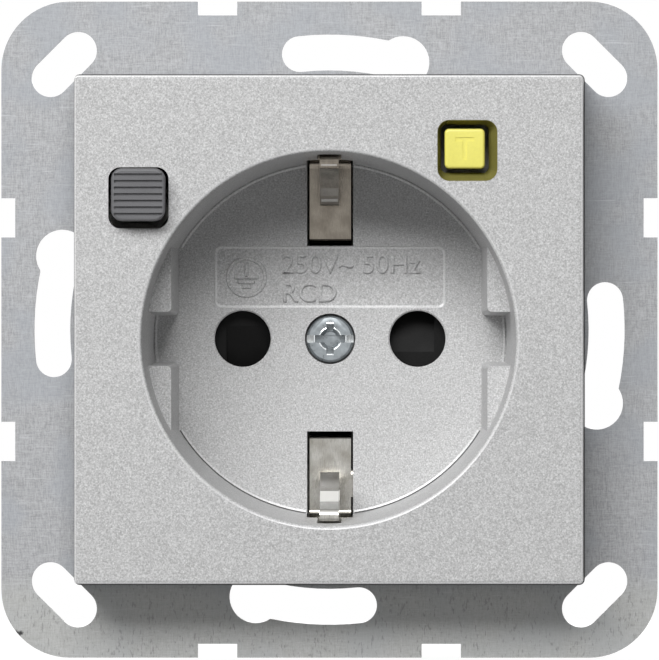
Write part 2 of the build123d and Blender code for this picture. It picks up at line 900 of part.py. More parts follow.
def shutter():
    """Turning shutter: a hub with two ramped wings."""
    disc = Circle(shutter_radius)
    far = shutter_radius + overcut
    half = far * sin(radians(shutter_half_angle))
    wing = disc & outline((0, 0), (far, -half), (far, half))
    shape = Circle(shutter_hub_radius) + wing + Rot(0, 0, 180) * wing
    body = layer(Pos(0, socket_z) * shape, shutter_front, shutter_back)
    ramp = outline(
        (shutter_front, ramp_ridge),
        (shutter_front + ramp_drop, -shutter_hub_radius),
        (shutter_front - overcut, -shutter_hub_radius),
        (shutter_front - overcut, ramp_ridge),
    )
    cut = sideways(ramp, -ramp_outer_radius, -shutter_hub_radius - ramp_hub_gap)
    for turn in (0, 180):
        body -= Pos(0, 0, socket_z) * Rot(0, turn, 0) * cut
    bore = post_radius + shutter_bore_clearance
    return body - rod(bore, shutter_front - overcut, shutter_back + overcut, z=socket_z)


def button_stem(radius, front, x, z):
    """Stem of a button, with a snap head behind the deck."""
    stem = rod(radius, front, deck_back + snap_length / 2, x, z)
    head = [
        (0, deck_back + snap_gap),
        (radius + snap_overhang, deck_back + snap_gap),
        (radius + snap_overhang, deck_back + snap_length / 3),
        (radius - snap_overhang, deck_back + snap_length),
        (0, deck_back + snap_length),
    ]
    return stem + turned(head, x, z)


def reset_button():
    """Ribbed cap on its stem."""
    cap = RectangleRounded(reset_cap_width, reset_cap_height, reset_cap_radius)
    button = layer(Pos(reset_x, reset_cap_z) * cap, reset_front, reset_cap_back)
    button = fillet(button.faces().sort_by(Axis.Y)[0].edges(), cap_edge_radius)
    for index in range(groove_count):
        z = reset_cap_z + (index - (groove_count - 1) / 2) * groove_pitch
        groove = Pos(reset_x, z) * Rectangle(reset_cap_width - 2 * cap_edge_radius, groove_width)
        button -= layer(groove, reset_front - overcut, reset_front + groove_depth)
    return button + button_stem(reset_stem_radius, reset_cap_back - overcut, reset_x, reset_z)


def test_button():
    """Plain cap on its stem."""
    cap = RectangleRounded(test_cap_width, test_cap_height, test_cap_radius)
    button = layer(Pos(test_cap_x, test_cap_z) * cap, test_front, test_cap_back)
    button = fillet(button.faces().sort_by(Axis.Y)[0].edges(), cap_edge_radius)
    return button + button_stem(test_stem_radius, test_cap_back - overcut, test_cap_x, test_cap_z)


def pin_contact():
    """Right-hand sprung fork with the tail that its conductor is joined to."""
    mouth = deck_back + fork_deck_gap
    pinch = pin_radius + fork_thickness / 2
    points = [
        (mouth, fork_mouth_half_gap),
        (fork_pinch_depth, pinch),
        (fork_base, fork_base_half_gap),
        (fork_base, -fork_base_half_gap),
        (fork_pinch_depth, -pinch),
        (mouth, -fork_mouth_half_gap),
    ]
    line = FilletPolyline(*points, radius=[fork_lip_bend, fork_base_bend, fork_base_bend, fork_lip_bend])
    left = pin_spacing / 2 - fork_width / 2
    fork = Pos(0, 0, socket_z) * sideways(trace(line, fork_thickness), left, left + fork_width)
    tail_joint = left + tail_overlap
    tail = Pos((tail_end_x + tail_joint) / 2, socket_z) * Rectangle(tail_joint - tail_end_x, tail_height)
    return fork + layer(tail, fork_base - fork_thickness / 2, fork_base + fork_thickness / 2)


def primary_conductor():
    """Right-hand wire from the fork's tail through the transformer to its fixed contact."""
    start = (conductor_x, fork_base + fork_thickness / 2, socket_z)
    points = [
        start,
        (conductor_x, conductor_turn, socket_z),
        (load_contact_x, conductor_turn, bridge_z),
        (load_contact_x, contact_back, bridge_z),
    ]
    path = FilletPolyline(*points, radius=conductor_bend)
    section = Plane(origin=start, z_dir=(0, 1, 0)) * Circle(conductor_radius)
    return sweep(section, path=path)


def transformer_core():
    """Ring core about the two conductors."""
    ring = Circle(core_outer_radius) - Circle(core_inner_radius)
    return layer(Pos(0, socket_z) * ring, core_front, core_back)


def secondary_winding():
    """Turns of wire laid side by side over most of the core."""
    middle = (core_outer_radius + core_inner_radius) / 2
    across = core_outer_radius - core_inner_radius
    frame = Rectangle(across + 2 * winding_thickness, core_thickness + 2 * winding_thickness)
    frame -= Rectangle(across + 2 * winding_core_gap, core_thickness + 2 * winding_core_gap)
    depth = (core_front + core_back) / 2
    turn = extrude(Plane.XY * Pos(middle, depth) * frame, amount=winding_width / 2, both=True)
    group = []
    for index in range(winding_turns):
        angle = 90 + (index - (winding_turns - 1) / 2) * winding_arc / winding_turns
        group.append(Pos(0, 0, socket_z) * Rot(0, angle, 0) * turn)
    return Compound(children=group)


def contact_tip(x, front, back):
    """Round silver tip."""
    return rod(tip_radius, front, back, x, bridge_z)


def load_contact():
    """Right-hand fixed contact on the end of a conductor."""
    outer = contact_split_x - contact_parting / 2
    inner = load_contact_x - bar_height / 2
    low = bridge_low + contact_wall_margin
    high = bridge_high - contact_wall_margin
    plate = block(inner, outer, contact_front, contact_back, low, high)
    return plate + contact_tip(load_contact_x, fixed_tip_front, contact_front)


def line_contact():
    """Right-hand fixed contact, folded back into a leaf for its terminal clamp."""
    inner = contact_split_x + contact_parting / 2
    top = socket_z + leaf_width / 2
    high = bridge_high - contact_wall_margin
    plate = block(inner, line_plate_outer_x, contact_front, contact_back, top - contact_thickness, high)
    middle = (contact_front + contact_back) / 2
    points = [(line_plate_outer_x, middle), (leaf_x, middle), (leaf_x, leaf_end)]
    fold = FilletPolyline(*points, radius=line_fold_bend)
    leaf = upright(trace(fold, contact_thickness), socket_z - leaf_width / 2, top)
    return plate + leaf + contact_tip(line_contact_x, fixed_tip_front, contact_front)


def contact_bridge():
    """Sliding carrier with its ear under the reset stem and the nose for the latch."""
    bridge = block(bridge_left, bridge_right, bridge_front, bridge_back, bridge_low, bridge_high)
    bridge += block(
        bridge_left,
        bridge_left + bridge_ear_width,
        bridge_front,
        bridge_back,
        bridge_high - bridge_overlap,
        bridge_ear_top,
    )
    hole = guide_post_radius + guide_post_clearance
    bridge -= rod(hole, bridge_front - overcut, bridge_back + overcut, 0, bridge_z)
    nose_front = bridge_front + nose_setback
    bridge += block(
        latch_x - latch_width / 2,
        latch_x + latch_width / 2,
        nose_front,
        nose_front + nose_thickness,
        bridge_high - bridge_overlap,
        bridge_high + nose_height,
    )
    return bridge


def moving_contact():
    """Right-hand bar that joins the two fixed contacts when the bridge closes."""
    middle = (load_contact_x + line_contact_x) / 2
    length = line_contact_x - load_contact_x + 2 * (tip_radius + bar_end_margin)
    bar = Pos(middle, bridge_z) * RectangleRounded(length, bar_height, bar_corner_radius)
    bar = layer(bar, bridge_back, bar_back)
    for x in (load_contact_x, line_contact_x):
        bar += contact_tip(x, bar_back, tip_back)
    return bar


def latch_lever():
    """Lever that drops in front of the nose; modelled tripped, with its hook lifted."""
    nose_top = bridge_high + nose_height
    catch = bridge_front + nose_setback + reset_travel - latch_gap
    hook_low = nose_top - latch_reach
    arm_low = latch_pivot_z - latch_arm_below
    tail_back = latch_pivot_depth + latch_tail_width
    tail_low = relay_z - latch_tail_below
    front = catch - latch_hook_thickness - latch_ramp
    profile = outline(
        (catch, hook_low),
        (catch, arm_low),
        (latch_pivot_depth, arm_low),
        (latch_pivot_depth, tail_low),
        (tail_back, tail_low),
        (tail_back, latch_pivot_z),
        (latch_pivot_depth, latch_pivot_z + latch_arm_above),
        (front, latch_pivot_z + latch_arm_tip_above),
        (front, nose_top + latch_ramp),
        (catch - latch_hook_thickness, nose_top),
        (catch - latch_hook_thickness, hook_low),
    )
    profile += Pos(latch_pivot_depth, latch_pivot_z) * Circle(latch_hub_radius)
    profile -= Pos(latch_pivot_depth, latch_pivot_z) * Circle(latch_pin_radius + latch_pin_clearance)
    half = latch_width / 2 - latch_side_gap
    lever = sideways(profile, latch_x - half, latch_x + half)
    pivot = Pos(0, latch_pivot_depth, latch_pivot_z)
    return pivot * Rot(-latch_angle, 0, 0) * pivot.inverse() * lever


def latch_pin():
    """Pin through the lever and both ears."""
    shape = Pos(latch_pivot_depth, latch_pivot_z) * Circle(latch_pin_radius)
    return sideways(shape, latch_x - latch_pin_length / 2, latch_x + latch_pin_length / 2)


def relay_yoke():
    """Folded steel yoke about the coil."""
    left = latch_x - relay_width / 2
    low = relay_z - relay_height / 2
    high = relay_z + relay_height / 2
    yoke = block(left, left + relay_width, relay_front, relay_back, low, high)
    yoke -= block(
        left - overcut,
        left + relay_width + overcut,
        relay_front + yoke_thickness,
        relay_back - yoke_thickness,
        low - overcut,
        high - yoke_thickness,
    )
    hole = plunger_radius + plunger_clearance
    return yoke - rod(hole, relay_front - overcut, relay_front + yoke_thickness + overcut, latch_x, relay_z)


def relay_coil():
    """Wound spool between the yoke's cheeks."""
    front = relay_front + yoke_thickness
    back = relay_back - yoke_thickness
    hole = plunger_radius + plunger_clearance
    wound = coil_radius - spool_flange
    points = [
        (hole, front),
        (coil_radius, front),
        (coil_radius, front + spool_flange),
        (wound, front + spool_flange),
        (wound, back - spool_flange),
        (coil_radius, back - spool_flange),
        (coil_radius, back),
        (0, back),
        (0, back - spool_flange),
        (hole, back - spool_flange),
    ]
    return turned(points, latch_x, relay_z)


def relay_plunger():
    """Plunger that pushes the lever's tail."""
    tail_back = latch_pivot_depth + latch_tail_width
    lean = (latch_pivot_z - relay_z) * sin(radians(latch_angle))
    back = relay_back - yoke_thickness - plunger_end_gap
    return rod(plunger_radius, tail_back - lean + plunger_lever_gap, back, latch_x, relay_z)


def terminal_place(name):
    """Where a terminal's leaf lies, with the terminal's own X pointing at its screw head."""
    if name == "right":
        return Pos(leaf_x, terminal_depth, socket_z)
    if name == "left":
        return Pos(-leaf_x, terminal_depth, socket_z) * Rot(0, 180, 0)
    return Pos(earth_terminal_x, earth_terminal_depth, earth_tab_z) * Rot(0, 90, 0)


def terminal_clamp(name):
    """Cage that draws the wire against the leaf."""
    height = cage_back + cage_room
    inner = Pos((cage_room - cage_back) / 2, 0) * Rectangle(height, cage_width - 2 * cage_wall)
    outer = Pos((cage_room - cage_back) / 2, 0) * RectangleRounded(
        height + 2 * cage_wall, cage_width, cage_corner_radius
    )
    cage = layer(outer - inner, -cage_depth / 2, cage_depth / 2)
    hole = terminal_screw_radius + thread_clearance
    cage -= Pos(cage_room, 0, 0) * Rot(0, 90, 0) * Cylinder(hole, 4 * cage_wall)
    return terminal_place(name) * cage


def terminal_screw(name):
    """Screw of a terminal, with a slot in its head."""
    head_end = terminal_screw_head_at + terminal_head_height
    profile = outline(
        (terminal_screw_tip, 0),
        (terminal_screw_tip, terminal_screw_radius),
        (terminal_screw_head_at, terminal_screw_radius),
        (terminal_screw_head_at, terminal_head_radius),
        (head_end, terminal_head_radius),
        (head_end, 0),
    )
    screw = revolve(profile, axis=Axis.X)
    slot = Pos(head_end, 0) * Rectangle(2 * terminal_slot_depth, terminal_slot_width)
    screw -= upright(slot, -terminal_head_radius, terminal_head_radius)
    return terminal_place(name) * screw


def test_contact():
    """Leaf that the test stem closes."""
    high = test_cap_z + test_leaf_width / 2
    return block(
        test_x - test_leaf_width / 2,
        test_x + test_leaf_width / 2,
        test_leaf_front,
        test_leaf_front + test_leaf_thickness,
        test_leaf_low,
        high,
    )


def circuit_board():
    """Board of the trip circuit."""
    middle = Pos((board_left + board_right) / 2, (board_low + board_high) / 2)
    shape = middle * RectangleRounded(
        board_right - board_left, board_high - board_low, board_corner_radius
    )
    return layer(shape, board_front, board_front + board_thickness)


def axial_part(radius, length, x, z, lead_span):
    """A part with axial leads, lying along X on the board."""
    back = board_front + board_thickness
    depth = back + radius + part_board_gap
    barrel = sideways(Pos(depth, z) * Circle(radius), x - length / 2, x + length / 2)
    points = [
        (x - lead_span / 2, back, z),
        (x - lead_span / 2, depth, z),
        (x + lead_span / 2, depth, z),
        (x + lead_span / 2, back, z),
    ]
    path = FilletPolyline(*points, radius=lead_bend)
    section = Plane(origin=points[0], z_dir=(0, 1, 0)) * Circle(lead_radius)
    return barrel + sweep(section, path=path)


def test_resistor():
    """Resistor of the test circuit."""
    z = board_high - resistor_below_top
    return axial_part(resistor_radius, resistor_length, resistor_x, z, resistor_lead_span)


def diode():
    """Diode of the trip circuit."""
    z = board_high - diode_below_top
    return axial_part(diode_radius, diode_length, diode_x, z, diode_lead_span)


def varistor():
    """Coated disc standing on the board."""
    back = board_front + board_thickness
    depth = back + part_board_gap + varistor_radius
    middle = board_low + varistor_above_low
    left = board_left + varistor_edge_gap
    shape = Pos(depth, middle) * Circle(varistor_radius)
    disc = sideways(shape, left, left + varistor_thickness)
    disc = fillet(disc.edges().filter_by(GeomType.CIRCLE), varistor_edge_radius)
    for side in (-1, 1):
        z = middle + side * varistor_lead_half_gap
        disc += rod(lead_radius, back, depth, left + varistor_thickness / 2, z)
    return disc


def capacitor():
    """Film capacitor in a box."""
    back = board_front + board_thickness
    shape = RectangleRounded(capacitor_width, capacitor_height, capacitor_corner_radius)
    place = Pos(capacitor_x, board_low + capacitor_above_low)
    return layer(place * shape, back, back + capacitor_depth)


def shutter_spring():
    """Spring behind the shutter, which turns it shut."""
    start = shutter_back + shutter_spring_gap
    length = strap_front - shutter_back - 2 * shutter_spring_gap
    place = (0, start, socket_z)
    return spring(shutter_spring_wire, shutter_spring_radius, 2, place, (0, 1, 0), length)


def button_spring(wire, radius, cap_back, x, z):
    """Return spring between a button's cap and its seat in the housing."""
    start = cap_back + wire / 2
    end = spring_seat - wire / 2
    return spring(wire, radius, 4, (x, start, z), (0, 1, 0), end - start)


def reset_spring():
    """Return spring of the reset button."""
    return button_spring(reset_spring_wire, reset_spring_radius, reset_cap_back, reset_x, reset_z)


def test_spring():
    """Return spring of the test button."""
    return button_spring(test_spring_wire, test_spring_radius, test_cap_back, test_cap_x, test_cap_z)


def bridge_spring():
    """Spring on the guide post, which opens the bridge."""
    start = bridge_back + bridge_spring_wire / 2
    end = guide_shoulder_depth - bridge_spring_wire / 2
    return spring(bridge_spring_wire, bridge_spring_radius, 5, (0, start, bridge_z), (0, 1, 0), end - start)


def latch_spring():
    """Spring from the housing's top wall to the lever's arm."""
    lift = (latch_pivot_depth - latch_spring_depth) * sin(radians(latch_angle))
    start = latch_pivot_z + lift + latch_spring_seat
    end = housing_inner_half - latch_spring_wire / 2
    place = (latch_x, latch_spring_depth, start)
    return spring(latch_spring_wire, latch_spring_radius, 3, place, (0, 0, 1), end - start)


def write(name, shape):
    """Save one node."""
    export_step(shape, f"parts/{name}.step")


def main():
    os.makedirs("parts", exist_ok=True)
    write("front_cover", front_cover())
    write("cover_screw", cover_screw())
    write("support_frame", support_frame())
    write("frame_screws", frame_screws())
    write("front_housing", front_housing())
    write("rear_housing", rear_housing())
    write("housing_screws", housing_screws())
    write("earth_bracket", earth_bracket())
    write("shutter", shutter())
    write("shutter_spring", shutter_spring())
    write("reset_button", reset_button())
    write("reset_spring", reset_spring())
    write("test_button", test_button())
    write("test_spring", test_spring())
    write("contact_bridge", contact_bridge())
    write("bridge_spring", bridge_spring())
    pairs = {
        "pin_contact": pin_contact(),
        "primary_conductor": primary_conductor(),
        "load_contact": load_contact(),
        "line_contact": line_contact(),
        "moving_contact": moving_contact(),
    }
    for name, shape in pairs.items():
        write(name + "_right", shape)
        write(name + "_left", mirrored(shape))
    write("transformer_core", transformer_core())
    write("secondary_winding", secondary_winding())
    write("latch_lever", latch_lever())
    write("latch_pin", latch_pin())
    write("latch_spring", latch_spring())
    write("relay_yoke", relay_yoke())
    write("relay_coil", relay_coil())
    write("relay_plunger", relay_plunger())
    write("line_terminal_clamps", Compound(children=[terminal_clamp("left"), terminal_clamp("right")]))
    write("line_terminal_screws", Compound(children=[terminal_screw("left"), terminal_screw("right")]))
    write("earth_terminal_clamp", terminal_clamp("bottom"))
    write("earth_terminal_screw", terminal_screw("bottom"))
    write("test_contact", test_contact())
    write("circuit_board", circuit_board())
    write("test_resistor", test_resistor())
    write("diode", diode())
    write("varistor", varistor())
    write("capacitor", capacitor())


main()
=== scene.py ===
import json
import math

import bmesh
import bpy
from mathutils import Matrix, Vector


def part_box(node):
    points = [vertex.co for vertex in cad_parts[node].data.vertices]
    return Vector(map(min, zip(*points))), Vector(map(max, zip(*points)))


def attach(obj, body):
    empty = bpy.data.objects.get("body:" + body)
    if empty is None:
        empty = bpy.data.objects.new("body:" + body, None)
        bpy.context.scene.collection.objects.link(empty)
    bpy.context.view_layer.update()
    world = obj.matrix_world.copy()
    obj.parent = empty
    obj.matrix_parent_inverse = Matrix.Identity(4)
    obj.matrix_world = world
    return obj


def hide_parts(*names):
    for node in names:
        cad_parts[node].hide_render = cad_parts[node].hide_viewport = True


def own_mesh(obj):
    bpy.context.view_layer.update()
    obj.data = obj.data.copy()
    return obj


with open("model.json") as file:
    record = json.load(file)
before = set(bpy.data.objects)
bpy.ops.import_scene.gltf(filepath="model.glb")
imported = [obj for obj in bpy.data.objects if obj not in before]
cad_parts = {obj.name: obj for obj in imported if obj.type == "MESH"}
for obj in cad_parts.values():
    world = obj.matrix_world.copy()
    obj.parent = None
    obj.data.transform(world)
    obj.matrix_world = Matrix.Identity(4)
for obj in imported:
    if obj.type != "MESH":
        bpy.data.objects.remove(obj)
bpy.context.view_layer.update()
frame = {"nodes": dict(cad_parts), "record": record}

MM = 0.001
nodes = frame["nodes"]
looks = {}
scene = bpy.context.scene
scene.view_settings.view_transform = "Standard"

# Camera: straight on from 2 m, half a degree to the right of the axis
CAMERA_DISTANCE = 2.0
CAMERA_TURN = math.radians(0.5)
VIEW_WIDTH = 71.35 * MM
VIEW_CENTRE = Vector((0.0, 0.0, -0.04 * MM))

# Wide soft light from above, more from the left, a second one behind the frame, and a weak even fill
KEY_PLACE = Vector((-0.16, -0.54, 0.365))
KEY_WIDTH = 0.62
KEY_HEIGHT = 0.25
KEY_POWER = 5.45
BACK_PLACE = Vector((0.14, 0.58, 0.17))
BACK_WIDTH = 1.0
BACK_HEIGHT = 0.3
BACK_POWER = 4.2
FILL_LEVEL = 0.02

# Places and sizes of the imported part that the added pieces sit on; centres as (x, z)
FRAME_FRONT = -1.2 * MM
COVER_FRONT = -10.0 * MM
COVER_SIZE = 55.0 * MM
PANEL_FLOOR = 7.78 * MM
PANEL_DEPTH = 0.28 * MM
PANEL_WIDTH = 25.2 * MM
PANEL_LOW = 2.3 * MM
PANEL_HIGH = 9.1 * MM
TEST_CENTRE = (14.95 * MM, 19.3 * MM)
TEST_CAP_CENTRE = (14.65 * MM, 19.5 * MM)
TEST_OPENING = (6.5 * MM, 6.6 * MM)
SOCKET_CENTRE = (0.0, -1.0 * MM)
MOUTH_RADIUS = 20.2 * MM
LIP_ROUND = 0.4 * MM
EDGE_ROUND = 0.35 * MM
CORNER_ROUND = 0.5 * MM
FLOOR_FRONT = 7.5 * MM
FLOOR_REACH = 19.15 * MM
STRAP_WIDTH = 4.5 * MM

# How far a piece reaches into the face it sits on, and a cutter stands in front of the face it cuts
SUNK = 0.02 * MM
CUTTER_START = 0.1 * MM

# Carved pieces: distance at which corners merge, width of the eased edges, and angles of sharp edges
MERGE = 0.002 * MM
EASED = 0.04 * MM
EASED_ANGLE = math.radians(40)
SHARP_CARVED = math.radians(22)
SHARP_BUILT = math.radians(40)

# Driver recess of the cover screw: a round well, four arms and fine marks between them. Mouths and
# feet are half lengths and half widths. The flare widens the cutters, which start before the head
WELL_RADIUS = 1.15 * MM
WELL_FOOT = 0.78 * MM
WELL_DEPTH = 0.75 * MM
WELL_SIDES = 24
ARM_LENGTH = 1.65 * MM
ARM_WIDTH = 0.76 * MM
ARM_FOOT = (0.9 * MM, 0.3 * MM)
ARM_DEPTH = 0.55 * MM
ARM_TURNS = (0.0, 90.0)
MARK_MOUTH = (1.5 * MM, 0.07 * MM)
MARK_FOOT = (1.1 * MM, 0.04 * MM)
MARK_DEPTH = 0.16 * MM
MARK_TURNS = (45.0, 135.0)
FLARE = 0.05 * MM

# Raised rim round the driver recess, its bright metal a painted highlight: distance from the outline and
# height of its section, in mm, and the smallest sine or cosine that a length is divided by
RIM_SECTION = ((0.0, -0.03), (0.0, 0.0), (0.05, 0.022), (0.13, 0.0), (0.13, -0.03))
RIM_STEPS = 144
SMALLEST = 0.001

# Letter T of the test button
LETTER_WIDTH = 2.0 * MM
LETTER_TOP = 1.2 * MM
LETTER_FOOT = -1.15 * MM
LETTER_STEM = 0.42 * MM
LETTER_STROKE = 0.4 * MM
LETTER_DEPTH = 0.08 * MM

# Coil springs with the joint that would shorten them and the direction that they would shorten in; the
# copies keep their length
INTO_WALL = (0.0, 1.0, 0.0)
UP = (0.0, 0.0, 1.0)
SPRINGS = (("reset_spring", "reset_press", INTO_WALL),
           ("test_spring", "test_press", INTO_WALL),
           ("bridge_spring", "bridge_close", INTO_WALL),
           ("latch_spring", "latch_swing", UP))
LATCH_SPRING_TRAVEL = 0.6 * MM

# Dark strip in the gap round the cover, a painted shadow line: how far it stands out from the cover's
# edge, under it and forward
SHADOW_LINE_OUTWARD = 0.13 * MM
SHADOW_LINE_INWARD = 0.3 * MM
SHADOW_LINE_RISE = 0.35 * MM
SHADOW_LINE_OUTER_ROUND = 0.62 * MM
SHADOW_LINE_INNER_ROUND = 0.3 * MM
SHADOW_LINE_STEPS = 4

# Lining of the pocket round the test button, from just behind the cover's front to its foot
LINING_START = 0.03 * MM
LINING_DEPTH = 2.3 * MM
LINING_GAP = 0.05 * MM
LINING_SKIN = 0.03 * MM
LINING_FOOT = 5.22 * MM
LINING_MOUTH_ROUND = 1.28 * MM
LINING_FOOT_ROUND = 0.65 * MM

# Strips of smoother, lighter lacquer over roundings, the lighter colour a painted highlight: thickness,
# and angles of their face and of their root in degrees
LIP_SKIN = 0.015 * MM
LIP_FACE = (4, 20, 36, 52, 68, 86)
LIP_ROOT = (80, 45, 10)
LIP_STEPS = 160
EDGE_SKIN = 0.012 * MM
EDGE_FACE = (44, 52, 60, 70, 84)
EDGE_ROOT = (78, 50)
ROOT_DEPTH = 0.1 * MM

# Arcs of the recess's foot that show between windows and guide blocks, in degrees from the top,
# and the sections of its ridge, lighter as a painted highlight, and of its dark line, a painted shadow:
# distance from the wall's foot and depth, in mm
FOOT_ARCS = ((7.9, 58.5), (75.0, 105.0), (121.5, 172.1))
FOOT_STEPS = 24
RIDGE_SECTION = ((-0.36, 0.02), (-0.34, -0.005), (-0.13, -0.073), (-0.12, 0.02))
RECESS_SHADOW_SECTION = ((-0.13, 0.02), (-0.13, -0.03), (0.03, -0.05), (0.05, 0.02))

# Section of the clip strap's inner corner: depth and distance from the socket's centre, in mm
CLIP_CORNER = ((9.97, 12.3), (9.97, 10.85), (10.02, 10.7), (10.12, 10.6),
               (11.3, 10.47), (11.3, 10.8), (10.6, 11.3), (10.2, 12.3))

# Sloped edge of the marking panel: how much narrower, corner radius and depth from the panel's floor
PANEL_GAP = 0.01 * MM
PANEL_SECTION = ((0.0, 0.8 * MM, -PANEL_DEPTH),
                 (0.22 * MM, 0.7 * MM, -0.35 * PANEL_DEPTH),
                 (0.66 * MM, 0.55 * MM, -0.01 * MM),
                 (0.0, 0.8 * MM, SUNK))

# Words on the panel, each with the height of its line, and the sizes of their letters
PANEL_WORDS = (("panel_rating", "250V~ 50Hz", 6.15 * MM), ("panel_kind", "RCD", 3.05 * MM))
WORDS_LEFT = -5.3 * MM
WORDS_SIZE = 2.95 * MM
WORDS_RISE = 0.14 * MM
WORDS_BEVEL = 0.11 * MM
WORDS_THINNED = 0.08 * MM

# Earth sign: a ring, a stem, and three bars as half width and distance below the centre
SIGN_CENTRE = (-9.1 * MM, 5.7 * MM)
SIGN_RADIUS = 2.15 * MM
SIGN_LINE = 0.26 * MM
SIGN_RISE = 0.23 * MM
SIGN_SLANT = 0.1 * MM
SIGN_STEM = 1.45 * MM
SIGN_BARS = ((1.25 * MM, 0.0), (0.85 * MM, 0.52 * MM), (0.45 * MM, 1.04 * MM))
SIGN_SIDES = 48

# Painted highlights and painted shade in bands on the clips' tongues, in mm:
# lowest z, highest z, half width, softness and strength
TONGUE_HIGHLIGHTS = ((-18.6, -17.45, 1.02, 0.04, 1.0),
          (-19.8, -18.5, 1.02, 0.06, 0.45),
          (-17.4, -16.5, 1.0, 0.4, 0.3),
          (13.85, 14.15, 0.9, 0.05, 0.5),
          (17.7, 17.86, 0.85, 0.05, 0.4),
          (14.5, 15.3, 0.95, 0.05, 0.14))
SHADED = ((-16.3, -15.7, 0.98, 0.3, 0.35),)
BAND_SIDE = 0.04

# Worn spot on the frame's edge, as (x, z)
CHIP_PLACE = (-33.7 * MM, -33.0 * MM)
CHIP_RADIUS = 0.45 * MM

# Heights between which the frame's low band and the upper clip's painted shade come in
LOW_BAND = (-26 * MM, -29 * MM)
UPPER_SHADE = (-4 * MM, 8 * MM)

# Painted highlights at the ends of the cover screw's slot, as soft limits: from, to and half height
SHINE_FROM = (1.6 * MM, 1.9 * MM)
SHINE_TO = (2.7 * MM, 2.6 * MM)
SHINE_HEIGHT = (0.44 * MM, 0.38 * MM)

# Sizes of the grains and marks in the materials
LACQUER_GRAIN = 0.16 * MM
FLAKE_SIZE = 0.13 * MM
BRUSH_SIZE = 0.9 * MM
ZINC_GRAIN = 0.14 * MM
PATCH_SIZE = 7 * MM
SCRATCH_SIZE = 2.4 * MM
SPECK_SIZE = 0.5 * MM
STREAK_SIZE = 0.5 * MM
NICKEL_PATCH_SIZE = 1.6 * MM
RIB_SIZE = 0.25 * MM
CLOUD_SIZE = 3 * MM

# Shares: how much the flakes change the lacquer, and how strongly each mark covers the zinc
FLAKE_SHARE = 0.2
PATCH_SHARE = 0.5
SCRATCH_SHARE = 0.35
LOW_SHARE = 0.35
SPECK_SHARE = (0.10, 0.38)

# Colours of the lacquer, its lighter edges (a painted highlight), the zinc, the nickel with its painted
# shade and highlights, and the painted highlights at the ends of the screw's slot
LACQUER_DARK = (0.435, 0.435, 0.435)
LACQUER_LIGHT = (0.685, 0.685, 0.687)
# The lighter edge lacquer, a painted highlight
EDGE_HIGHLIGHT_DARK = (0.58, 0.58, 0.58)
EDGE_HIGHLIGHT_LIGHT = (0.74, 0.74, 0.742)
ZINC_DARK = (0.27, 0.275, 0.28)
ZINC_LIGHT = (0.45, 0.455, 0.47)
ZINC_PATCH = (0.33, 0.35, 0.38)
ZINC_SCRATCH = (0.62, 0.63, 0.65)
ZINC_LOW = (0.47, 0.47, 0.43)
ZINC_SPECK = (0.10, 0.10, 0.095)
ZINC_WORN = (0.02, 0.02, 0.02)
NICKEL_DARK = (0.34, 0.325, 0.29)
NICKEL_LIGHT = (0.47, 0.46, 0.43)
# Painted shade on the upper clip, painted shade and painted highlight on the tongues, painted highlight at
# the slot's ends
UPPER_SHADE_DARK = (0.17, 0.15, 0.125)
UPPER_SHADE_LIGHT = (0.25, 0.225, 0.19)
NICKEL_SHADED = (0.06, 0.055, 0.05)
NICKEL_HIGHLIGHT = (0.93, 0.92, 0.88)
SLOT_HIGHLIGHT = (0.8, 0.82, 0.82)

# Floor below the frame
FLOOR_HEIGHT = -36.2 * MM
FLOOR_RADIUS = 0.3
FLOOR_SIDES = 96
FLOOR_SHADE = 0.25
FLOOR_GLOW = 0.9


def grey(level):
    return (level, level, level)


def add_object(name, data):
    thing = bpy.data.objects.new(name, data)
    scene.collection.objects.link(thing)
    return thing


# Camera, light and stage

def add_camera():
    data = bpy.data.cameras.new("camera")
    data.sensor_fit = "HORIZONTAL"
    data.sensor_width = 36.0
    data.lens = data.sensor_width * CAMERA_DISTANCE / VIEW_WIDTH
    data.clip_start = 0.1
    data.clip_end = 50.0
    camera = add_object("camera", data)
    away = Vector((math.sin(CAMERA_TURN), -math.cos(CAMERA_TURN), 0.0))
    camera.location = VIEW_CENTRE + away * CAMERA_DISTANCE
    camera.rotation_mode = "QUATERNION"
    camera.rotation_quaternion = (-away).to_track_quat("-Z", "Y")
    scene.camera = camera


def add_area(name, place, width, height, power):
    """A rectangular lamp at a place, facing the middle of the frame."""
    data = bpy.data.lights.new(name, "AREA")
    data.shape = "RECTANGLE"
    data.size = width
    data.size_y = height
    data.energy = power
    lamp = add_object(name, data)
    lamp.location = place
    lamp.rotation_mode = "QUATERNION"
    lamp.rotation_quaternion = (-place).to_track_quat("-Z", "Y")


def bright_rays(tree):
    """1 for camera rays and for reflected or refracted ones, 0 for the rest."""
    path = tree.nodes.new("ShaderNodeLightPath")
    either = tree.nodes.new("ShaderNodeMath")
    either.operation = "MAXIMUM"
    tree.links.new(path.outputs["Is Camera Ray"], either.inputs[0])
    tree.links.new(path.outputs["Is Glossy Ray"], either.inputs[1])
    any_ray = tree.nodes.new("ShaderNodeMath")
    any_ray.operation = "MAXIMUM"
    tree.links.new(either.outputs[0], any_ray.inputs[0])
    tree.links.new(path.outputs["Is Transmission Ray"], any_ray.inputs[1])
    return any_ray.outputs[0]


def add_world():
    """White to the camera and in reflections, a weak even fill as light."""
    world = bpy.data.worlds.new("world")
    world.use_nodes = True
    scene.world = world
    tree = world.node_tree
    tree.nodes.clear()
    output = tree.nodes.new("ShaderNodeOutputWorld")
    fill = tree.nodes.new("ShaderNodeBackground")
    fill.inputs["Strength"].default_value = FILL_LEVEL
    white = tree.nodes.new("ShaderNodeBackground")
    white.inputs["Color"].default_value = (1.0, 1.0, 1.0, 1.0)
    mix = tree.nodes.new("ShaderNodeMixShader")
    tree.links.new(bright_rays(tree), mix.inputs["Fac"])
    tree.links.new(fill.outputs[0], mix.inputs[1])
    tree.links.new(white.outputs[0], mix.inputs[2])
    tree.links.new(mix.outputs[0], output.inputs["Surface"])


